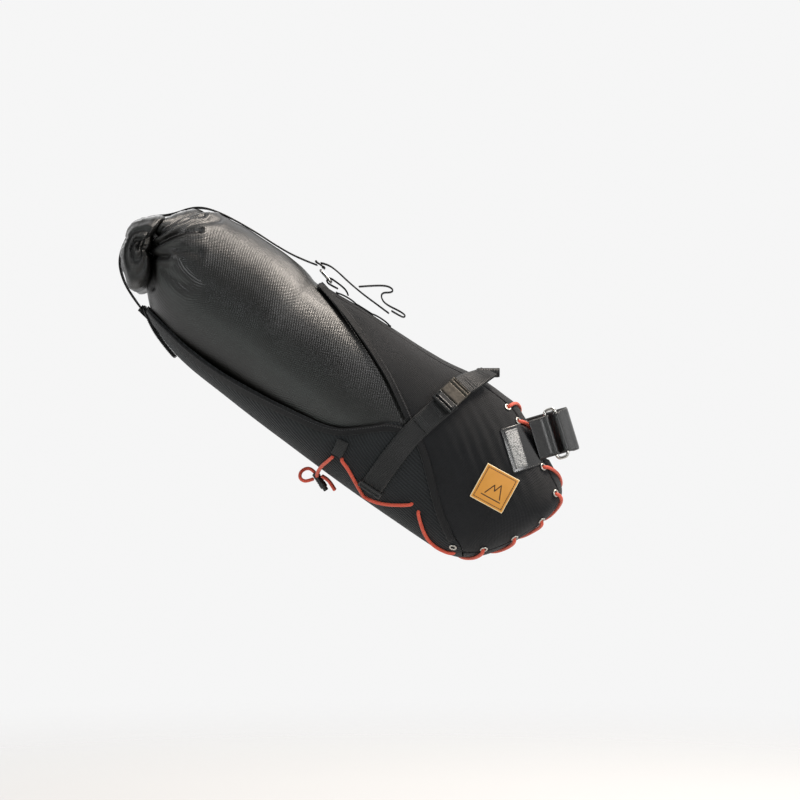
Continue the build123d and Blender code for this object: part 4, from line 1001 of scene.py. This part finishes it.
def flat(height):
    """A height that is the same all over a plate."""
    return lambda x, y: height + 0 * x * y


def step(x, start, end, soft=0.35):
    """1 from start to end and 0 outside, with soft shoulders."""
    return 1 / (1 + np.exp(-(x - start) / soft * 2)) - 1 / (1 + np.exp(-(x - end) / soft * 2))


BUCKLE_AT, BUCKLE_HEADING = (125.0, -34.0), (-0.2, -0.5, 0.85)
BUCKLE_WIDTH, PLATE_LENGTH, PLATE_THICK, SOCKET_LENGTH = 28.0, 24.0, 5.6, 13.0
TONGUE_LENGTH, TONGUE_WIDTH, TONGUE_THICK = 9.0, 19.0, 2.6
buckle_origin = side_point(*BUCKLE_AT, BINDING + 2 * WEBBING + 3.2)
buckle_z = outward(HOLSTER, side_point(*BUCKLE_AT, 0.0))
buckle_x = np.array(BUCKLE_HEADING) - buckle_z * np.dot(BUCKLE_HEADING, buckle_z)
buckle_x /= np.linalg.norm(buckle_x)
buckle_axes = (buckle_origin, buckle_x, np.cross(buckle_z, buckle_x), buckle_z)
plate_half = PLATE_LENGTH / 2


def plate_top(x, y):
    """A flat satin face, two deep grooves across its upper end and a raised bar between them."""
    grooves = 1.5 * step(x, 3.2, 5.4) + 1.7 * step(x, 8.2, 10.2) * step(y, -11.5, 11.5)
    frame_line = 0.35 * step(x, -11, 2.4) * (1 - step(y, -12.2, 12.2))
    return PLATE_THICK / 2 - grooves - frame_line - 0.25 * step(x, -12.2, -10.6)


plate_part = frame_slab(buckle_axes, (-plate_half, plate_half), BUCKLE_WIDTH - 1, plate_top,
                        flat(PLATE_THICK / 2), 1.2)
tongue_part = frame_slab(buckle_axes, (0.5 - plate_half - TONGUE_LENGTH, 0.5 - plate_half), TONGUE_WIDTH,
                         flat(TONGUE_THICK / 2), flat(TONGUE_THICK / 2), 0.8, 20, 40)
plate_part = joined([plate_part, tongue_part])
# Die-cast zinc, gunmetal coated: satin brownish black, brighter where straps rub the corners.
gunmetal, tree, shader = finish_of("gunmetal_coated_zinc", {"Metallic": 0.85, "Roughness": 0.4})
coords = add(tree, "ShaderNodeTexCoord", {})
brush = add(tree, "ShaderNodeTexNoise", {"Vector": coords.outputs["Object"], "Scale": 350.0, "Detail": 5.0})
ramp = add(tree, "ShaderNodeValToRGB", {"Fac": brush.outputs["Fac"]})
ramp.color_ramp.elements[0].color, ramp.color_ramp.elements[1].color = linear("#3A3733"), linear("#5C5750")
spread = add(tree, "ShaderNodeMapRange", {"Value": brush.outputs["Fac"], "To Min": 0.32, "To Max": 0.5})
tree.links.new(ramp.outputs["Color"], shader.inputs["Base Color"])
tree.links.new(spread.outputs["Result"], shader.inputs["Roughness"])

SOCKET_START = -plate_half - 0.2 - SOCKET_LENGTH
socket_half = (PLATE_THICK + 0.8) / 2


def socket_top(x, y):
    """A block with a bar for the strap at its lower end and finger ridges at both sides."""
    slot = 2.2 * step(x, SOCKET_START + 2.6, SOCKET_START + 5.0) * step(y, -12.2, 12.2)
    ridges = 0.35 * np.sin(x * 2 * np.pi / 1.6) * (1 - step(y, -10.2, 10.2))
    window = 0.4 * step(y, -9.5, 9.5) * step(x, SOCKET_START + 6.5, SOCKET_START + 14)
    return socket_half - slot + ridges - window


socket_part = frame_slab(buckle_axes, (SOCKET_START, -plate_half - 0.2), BUCKLE_WIDTH, socket_top,
                         flat(socket_half), 1.3)

SLIDER_AT, SLIDER_GAP = (143.0, -170.0), 1.4
slider_origin = side_point(*SLIDER_AT, BINDING + 2 * WEBBING + SLIDER_GAP)
slider_z = outward(HOLSTER, side_point(*SLIDER_AT, 0.0))
slider_x = np.array([0.0, 0.0, 1.0]) - slider_z * slider_z[2]
slider_x /= np.linalg.norm(slider_x)
slider_axes = (slider_origin, slider_x, np.cross(slider_z, slider_x), slider_z)
slider_part = frame_slab(slider_axes, (-4.5, 4.5), STRAP_WIDTH + 4,
                         lambda x, y: 1.2 - 1.5 * step(x, -1.7, 1.7) * step(y, -12.5, 12.5),
                         lambda x, y: 1.2 - 0.5 * step(x, -1.7, 1.7) * step(y, -12.5, 12.5), 1.0, 40, 80)

# the loop on the rail, and the two plies that run from it down to the plate
RAIL_RADIUS, RAIL_CENTRE = 3.5, np.array([105.45, 22.0, 9.69])
rail_along = np.array([-math.cos(BAG_TILT), 0.0, math.sin(BAG_TILT)])
sleeve_half, sleeve_in, sleeve_out = STRAP_WIDTH / 2, RAIL_RADIUS + 0.1, RAIL_RADIUS + 0.1 + WEBBING
sleeve_profile = [(-sleeve_half + 0.3, sleeve_in), (-sleeve_half, sleeve_in + 0.4),
                  (-sleeve_half, sleeve_out - 0.4), (-sleeve_half + 0.4, sleeve_out)]
sleeve_profile += [(x, sleeve_out) for x in np.linspace(-sleeve_half + 1.5, sleeve_half - 1.5, 14)]
sleeve_profile += [(-x, r) for x, r in sleeve_profile[3::-1]]
sleeve_part = turned_part(RAIL_CENTRE, rail_along, sleeve_profile + sleeve_profile[:1], 48)
lean = buckle_z + np.array([0.0, 0.6, 0.0])
lean /= np.linalg.norm(lean)
ply_low = buckle_origin + buckle_x * (plate_half + 0.1)
ply_high = RAIL_CENTRE + lean * (sleeve_out - 0.9)
run = (ply_high - ply_low) / np.linalg.norm(ply_high - ply_low)
high_across = rail_along - run * rail_along.dot(run)
high_across /= np.linalg.norm(high_across)
if high_across.dot(buckle_axes[2]) < 0:
    high_across = -high_across
t = np.linspace(0, 1, 50)[:, None]
across = buckle_axes[2] + (high_across - buckle_axes[2]) * (t * t * (3 - 2 * t))
across /= np.linalg.norm(across, axis=1, keepdims=True)
ply_line = ply_low + (ply_high - ply_low) * t
PLY_HALF, PLY_OFFSET = STRAP_WIDTH / 2 - 0.1, WEBBING / 2 + 0.02  # half a ply's width, and its lift
ply_middle = ply_line[:, None] + across[:, None] * np.linspace(-PLY_HALF, PLY_HALF, 21)[None, :, None]
ply_parts = []
for offset in (-PLY_OFFSET, PLY_OFFSET):
    up = np.cross(np.gradient(ply_middle, axis=0), np.gradient(ply_middle, axis=1))
    up /= np.linalg.norm(up, axis=-1, keepdims=True)
    ply_parts.append(slab(ply_middle + up * offset, up, WEBBING / 2, WEBBING / 2, 0.7))
loop_part = joined([sleeve_part, *ply_parts])
up = up if up[10, 10].dot(buckle_z) > 0 else -up
tacks = []
for share in (0.2, 0.28, 0.72, 0.8):
    row = int(share * (len(t) - 1))
    for extra in (0, 1):
        tacks.append(ply_middle[row + extra, 2:-2] + up[row + extra, 2:-2] * (WEBBING + 0.1))
tack_part = stitches(tacks, 1.5, 0.36, normal=buckle_z)
fold_tacks = []
for row in (6, 8, 10, 30, 32, 34):
    line = fold_middle[row, 2:-2]
    fold_tacks.append(line + outward(HOLSTER, line) * (WEBBING / 2 + 0.1))
fold_tack_part = stitches(fold_tacks, 1.5, 0.36)

for hand, turn_over in (("right", lambda part: part), ("left", mirrored)):
    place(f"rail_webbing_{hand}", turn_over(strap_part), webbing, "root", "webbing", [f"rail_strap_{hand}"])
    place(f"rail_webbing_fold_{hand}", turn_over(fold_part), webbing, "root", "webbing",
          [f"rail_strap_fold_{hand}"])
    place(f"rail_slider_bar_{hand}", turn_over(slider_part), acetal, "root", "buckle_plastic",
          [f"rail_slider_{hand}"], sharp=40)
    place(f"buckle_lower_{hand}", turn_over(socket_part), acetal, "root", "buckle_plastic",
          [f"buckle_socket_{hand}"], sharp=40)
    place(f"buckle_upper_{hand}", turn_over(plate_part), gunmetal, f"buckle_{hand}", "buckle_metal",
          [f"buckle_plate_{hand}"], sharp=40)
    place(f"rail_loop_webbing_{hand}", turn_over(loop_part), webbing, f"buckle_{hand}", "webbing",
          [f"rail_loop_{hand}"])
    place(f"rail_loop_tacks_{hand}", turn_over(tack_part), thread_nylon, f"buckle_{hand}", "webbing")
    place(f"fold_tacks_{hand}", turn_over(fold_tack_part), thread_nylon, "root", "webbing")

# ================================================================ seatpost strap
# A coated 50 mm strap is sewn to the left panel, passes round the seatpost and is looped on a steel
# ring. A short tab loops on the ring's other bar and is held by hook tape on a coated patch.
POST_TILT, POST_RADIUS, POST_STRAP_WIDTH = math.radians(17.0), 13.6, 50.0
RING_AT, RING_WIDTH, RING_WIRE, RING_TURN = (-6.0, -20.5), 16.5, 1.8, math.radians(7.0)


def from_post(points):
    """Seatpost frame (forward, left, up the post) to the bag frame, both in mm."""
    x, y, z = np.moveaxis(np.asarray(points, float), -1, 0)
    world_x = x * math.cos(POST_TILT) - z * math.sin(POST_TILT)
    world_z = x * math.sin(POST_TILT) + z * math.cos(POST_TILT)
    c, s = math.cos(BAG_TILT), math.sin(BAG_TILT)
    return np.stack([s * world_z - c * world_x, -y, s * world_x + c * world_z], -1)


def post_band(route, widths, thick, rows=120, columns=25):
    """A strap round the post: a smooth line in its cross plane, widened along the post."""
    line = smooth_route([(x, y, 0.0) for x, y in route])
    lengths = run_length(line)
    at = np.linspace(0, lengths[-1], rows)
    x, y = (np.interp(at, lengths, line[:, k])[:, None] for k in (0, 1))
    half = np.interp(at / lengths[-1], *zip(*widths))[:, None] / 2
    z = half * np.linspace(-1, 1, columns)[None]
    middle = from_post(points_of(x, y, z))
    return face_slab(middle, thick / 2, thick / 2, 0.7), middle


reach = RING_WIDTH / 2 - RING_WIRE
ring_dx, ring_dy = reach * math.cos(RING_TURN), reach * math.sin(RING_TURN)
front_bar = (RING_AT[0] + ring_dx, RING_AT[1] + ring_dy)
rear_bar = (RING_AT[0] - ring_dx, RING_AT[1] - ring_dy)
lead, bend = POST_RADIUS + 0.15 + WEBBING / 2, RING_WIRE + 0.3 + WEBBING / 2


def arc_points(centre, radius, angles):
    """Control points round a bar or the post, at angles in degrees from straight ahead."""
    return [(centre[0] + radius * math.cos(math.radians(a)), centre[1] + radius * math.sin(math.radians(a)))
            for a in angles]


wrap = [(-36, 34.6), (-22, 26.5), (-10, 19.2)]
wrap += arc_points((0, 0), 1.035 * lead, (98, 76, 54, 32, 10, -12, -34, -54))
wrap += [(front_bar[0] + 5.2, front_bar[1] + 3.2)]
wrap += arc_points(front_bar, 1.12 * bend, (20, -30, -80, -130, -180, -230))
LOOP_WIDTH = 46.4
wrap_part, _ = post_band(
    wrap, [(0, POST_STRAP_WIDTH), (0.8, POST_STRAP_WIDTH), (0.9, LOOP_WIDTH), (1, LOOP_WIDTH)], WEBBING)
place("seatpost_webbing", wrap_part, coated_webbing, "root", "webbing", ["seatpost_strap"])
tab = arc_points(rear_bar, 1.12 * bend, (150, 100, 50, 0, -50, -95))
tab += [(rear_bar[0] + x, rear_bar[1] + y) for x, y in ((-5, -3.4), (-12, -7.2), (-20, -11.4))]
tab_part, _ = post_band(tab, [(0, LOOP_WIDTH), (1, LOOP_WIDTH)], WEBBING)
place("seatpost_tab_webbing", tab_part, coated_webbing, "root", "webbing", ["seatpost_tab"])

# Nickel-plated steel wire: bright, with faint draw lines and a duller plating in patches.
plated_steel, tree, shader = finish_of("nickel_plated_steel_wire", {"Metallic": 1.0, "Roughness": 0.22})
coords = add(tree, "ShaderNodeTexCoord", {})
plating = add(tree, "ShaderNodeTexNoise", {"Vector": coords.outputs["Object"], "Scale": 220.0, "Detail": 5.0})
ramp = add(tree, "ShaderNodeValToRGB", {"Fac": plating.outputs["Fac"]})
ramp.color_ramp.elements[0].color, ramp.color_ramp.elements[1].color = linear("#8E8B86"), linear("#D2D0CB")
spread = add(tree, "ShaderNodeMapRange", {"Value": plating.outputs["Fac"], "To Min": 0.14, "To Max": 0.34})
tree.links.new(ramp.outputs["Color"], shader.inputs["Base Color"])
tree.links.new(spread.outputs["Result"], shader.inputs["Roughness"])
for node in ("seatpost_ring", "top_ring", "cord_lock_spring"):
    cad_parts[node].material_slots[0].material = plated_steel

# the coated patch under the tab, and the hook tape on it
PATCH_AT = (24.8, -34.8)
post_up = np.array([math.cos(math.radians(39)), math.sin(math.radians(39))])
post_across = np.array([-post_up[1], post_up[0]])


def patch(rear, front, half, gap, above, below, wander=0.0):
    """A patch on the right panel, square to the seatpost, on the face."""
    along = np.linspace(-half, half, 70)[:, None]
    across = np.linspace(rear, front, 50)[None]
    u = PATCH_AT[0] + along * post_up[0] + across * post_across[0]
    w = PATCH_AT[1] + along * post_up[1] + across * post_across[1]
    w = np.minimum(w, section_at(HOLSTER, u)[1] + section_at(HOLSTER, u)[2] * 0.985)
    middle = side_point(u, w, gap + wander * crumple(u, w, 25, 71))
    return slab(middle, outward(HOLSTER, middle), above, below, 0.8), middle


# Urethane-coated nylon: glossy black with a fine pebbled coat.
coated_patch, tree, shader = finish_of("urethane_coated_nylon", {
    "Roughness": 0.25, "Coat Weight": 0.4, "Coat Roughness": 0.2})
shader.inputs["Base Color"].default_value = linear("#08080A")
coords = add(tree, "ShaderNodeTexCoord", {})
pebble = add(tree, "ShaderNodeTexNoise", {"Vector": coords.outputs["Object"], "Scale": 650.0, "Detail": 3.0})
bump = add(tree, "ShaderNodeBump", {"Height": pebble.outputs["Fac"], "Strength": 0.4, "Distance": 0.0003})
spread = add(tree, "ShaderNodeMapRange", {"Value": pebble.outputs["Fac"], "To Min": 0.18, "To Max": 0.4})
tree.links.new(spread.outputs["Result"], shader.inputs["Roughness"])
tree.links.new(bump.outputs["Normal"], shader.inputs["Normal"])
base_part, base_middle = patch(-24, 12, 26, 0.7, 0.55, 0.55, 0.1)
place("coated_patch_right", base_part, coated_patch, "root", "holster_cloth", ["strap_base_right"])
place("coated_patch_left", mirrored(base_part), coated_patch, "root", "holster_cloth", ["strap_base_left"])
hook_part, hook_middle = patch(-20, -6, 22, 1.9, 0.6, 0.6, 0.1)
# Hook tape: silver-grey nylon, a hook every 0.9 mm in rows. Each hook's colour is painted light: a near-white
# painted glint on its top, and painted shade, dark grey, in the gaps between.
hook_tape, tree, shader = finish_of("silver_hook_tape", {"Roughness": 0.38, "Specular IOR Level": 0.7})
coords = add(tree, "ShaderNodeTexCoord", {})
hook_bumps_painted_glints_and_shade = add(tree, "ShaderNodeTexVoronoi", {"Vector": coords.outputs["Object"], "Scale": 1100.0})
# painted glint, near white, on each hook's top; painted shade, dark grey, between each hook and the next
ramp = add(tree, "ShaderNodeValToRGB", {"Fac": hook_bumps_painted_glints_and_shade.outputs["Distance"]})
ramp.color_ramp.elements[0].color, ramp.color_ramp.elements[1].color = linear("#E4E4E2"), linear("#3F4042")
ramp.color_ramp.elements[1].position = 0.7
bump = add(tree, "ShaderNodeBump", {
    "Height": hook_bumps_painted_glints_and_shade.outputs["Distance"], "Strength": 0.8, "Distance": 0.0006}, invert=True)
tree.links.new(ramp.outputs["Color"], shader.inputs["Base Color"])
tree.links.new(bump.outputs["Normal"], shader.inputs["Normal"])
place("hook_tape_patch", hook_part, hook_tape, "root", "hook_tape", ["hook_patch"])
patch_seams = [middle_line + outward(HOLSTER, middle_line) * 0.62 for middle_line in (
    hook_middle[3], hook_middle[-4], hook_middle[:, 3], hook_middle[:, -4])]
base_seams = [line + outward(HOLSTER, line) * 0.6 for line in (
    base_middle[2], base_middle[-3], base_middle[:, 3])]
place("hook_tape_stitching", stitches(patch_seams, 2.4, 0.36), thread_nylon, "root", "hook_tape")
base_sewn = stitches(base_seams, 2.8, 0.36)
place("coated_patch_stitching", both_sides(base_sewn), thread_nylon, "root", "holster_cloth")

# ================================================================ compression strap and top hardware
# 25 mm webbing is sewn under the belly's tail, runs up over the roll and along the bag's top to a flat
# hook. The hook catches a steel ring that a folded tab holds on the flap; a free end hangs by it.


def middle_band_part(route, width, thick, rows=160, columns=17, reach=0.7):
    """A strap in the bag's middle plane: a smooth side-view line, widened across the bag."""
    line = smooth_route([(u, 0.0, w) for u, w in route])
    lengths = run_length(line)
    at = np.linspace(0, lengths[-1], rows)
    u, w = (np.interp(at, lengths, line[:, k])[:, None] for k in (0, 2))
    v = np.linspace(-width / 2, width / 2, columns)[None]
    lift = 0.15 * crumple(at[:, None], v, 40, 81)
    middle = points_of(u, v, w + lift)
    return face_slab(middle, thick / 2, thick / 2, reach)


STRAP_PATH = [(470, -151), (489, -144.5), (508, -135), (524, -120), (531, -98), (531, -71), (521, -56),
              (503, -42.5), (488, -21), (467, -10.5), (420, -5.4), (376, -5.0), (352, -1.6), (334, 2.6)]
strap_run = middle_band_part(STRAP_PATH, STRAP_WIDTH, WEBBING, rows=260)
place("compression_webbing", strap_run, webbing, "strap", "webbing", ["compression_strap"])
RETURN_PATH = [(333, 6.6), (326, 9.6), (315, 10), (292, 6.2), (272, 4), (236, 2.6)]
return_run = middle_band_part(RETURN_PATH, STRAP_WIDTH - 1, WEBBING)
place("return_webbing", return_run, webbing, "strap", "webbing", ["return_strap"])
TAIL_PATH = [(236, 6.5), (225, 7.2), (219.5, 8.2), (219.5, 11.4), (228, 11.6), (246, 9.0), (254, 12.5),
             (256, 18), (247, 24), (247.5, 28), (256, 27.5), (270, 18), (282, 8.5)]
tail_run = middle_band_part(TAIL_PATH, STRAP_WIDTH - 1, WEBBING, rows=200)
place("free_webbing_end", tail_run, webbing, "strap", "webbing", ["strap_tail"])

u = np.linspace(226, 300, 160)[:, None]
v = np.linspace(-10, 10, 17)[None]
loops = 1.4 * np.clip(np.sin((u - 229) / 68 * 3 * np.pi), 0, 1) ** 0.6
chain_middle = points_of(u, v, crown(u, v) + 0.9 + loops)
place("daisy_chain_webbing", face_slab(chain_middle, 0.7, 0.7, 0.6), webbing, "root", "webbing",
      ["daisy_chain"])
ANCHOR_PATH = [(286, -6.6), (290, -3.2), (298, -1.6), (308, -1.2), (314.5, -1.4), (316.2, -4.6),
               (314.5, -7.6), (308, -7.6), (300, -6.6)]
anchor_run = middle_band_part(ANCHOR_PATH, 22.0, 1.8, rows=110)
place("anchor_webbing", anchor_run, webbing, "root", "webbing", ["anchor_tab"])

# Anodised aluminium hook: black, satin, with bright worn corners.
anodised, tree, shader = finish_of("black_anodised_aluminium", {"Metallic": 0.7, "Roughness": 0.34})
coords = add(tree, "ShaderNodeTexCoord", {})
wear = add(tree, "ShaderNodeTexNoise", {"Vector": coords.outputs["Object"], "Scale": 260.0, "Detail": 5.0})
ramp = add(tree, "ShaderNodeValToRGB", {"Fac": wear.outputs["Fac"]})
ramp.color_ramp.elements[0].color, ramp.color_ramp.elements[1].color = linear("#0E0E0F"), linear("#3B3B3C")
tree.links.new(ramp.outputs["Color"], shader.inputs["Base Color"])
HOOK_AT, HOOK_WIDTH = np.array([333.5, 0.0, 4.9]), 26.0
hook_axes = (HOOK_AT, np.array([1.0, 0, 0]), np.array([0, 1.0, 0]), np.array([0, 0, 1.0]))


def hook_top(x, y):
    """A plate with one slot for each ply of the strap, rolled at its rear bar."""
    slots = 1.4 * step(x, -1.4, 1.2) * step(y, -11, 11)
    return 1.0 - slots + 0.5 * step(x, 3.4, 5.6)


hook_part = frame_slab(hook_axes, (-5.5, 5.5), HOOK_WIDTH, hook_top,
                       lambda x, y: 1.0 - 0.3 * step(x, -1.4, 1.2) + 0 * y, 0.9, 50, 80)
lip_axes = (HOOK_AT + [-6.6, 0, -0.7], *hook_axes[1:])
lip_part = frame_slab(lip_axes, (-2.0, 2.0), 20.0, lambda x, y: 1.7 - 0.12 * x * x + 0 * y,
                      lambda x, y: 1.7 - 0.5 * step(x, -1, 1) + 0 * y, 0.9, 24, 60)
place("strap_hook_plate", joined([hook_part, lip_part]), anodised, "strap", "hook_aluminium",
      ["strap_hook"], sharp=40)

# doubled webbing sewn under the tail, with a box of stitches at its end
u = np.linspace(HINGE_STATION + 4, 470, 90)[:, None]
v = np.linspace(-12.5, 12.5, 17)[None]
level_face = points_of(u, v, crown(u, v, -1.0))
downward = outward(HOLSTER, level_face)
tab_faces = []
for gap in (2.15, 3.8):
    tab_middle = level_face + downward * gap
    tab_faces.append(slab(tab_middle, downward, WEBBING / 2, WEBBING / 2, 0.7))
place("tail_tab_webbing", joined(tab_faces), webbing, "tail", "webbing", ["tail_tab"])
tab_normal = outward(HOLSTER, tab_middle)
tab_seams = [tab_middle[row, 1:-1] + tab_normal[row, 1:-1] * 0.95 for row in (4, 6, 40, 42, 84, 86)]
tab_seams += [tab_middle[4:86, column] + tab_normal[4:86, column] * 0.95 for column in (2, -3)]
place("tail_tab_stitching", stitches(tab_seams, 2.2, 0.36, normal=(0, 0, -1)), thread_nylon, "tail",
      "webbing")

# folded webbing loops on the belly's edge that lead the shock cord
GUIDE_PATH = [(198, -144), (197, -150), (196, -156), (195.5, -162)]
guide, _ = lay_on_side(GUIDE_PATH, 13.0, 2.3, 1.1, 1.0, 0.3, rows=40, columns=15, reach=1.0)
place("cord_guide_loops", both_sides(guide), webbing, "root", "webbing", ["cord_guides"])
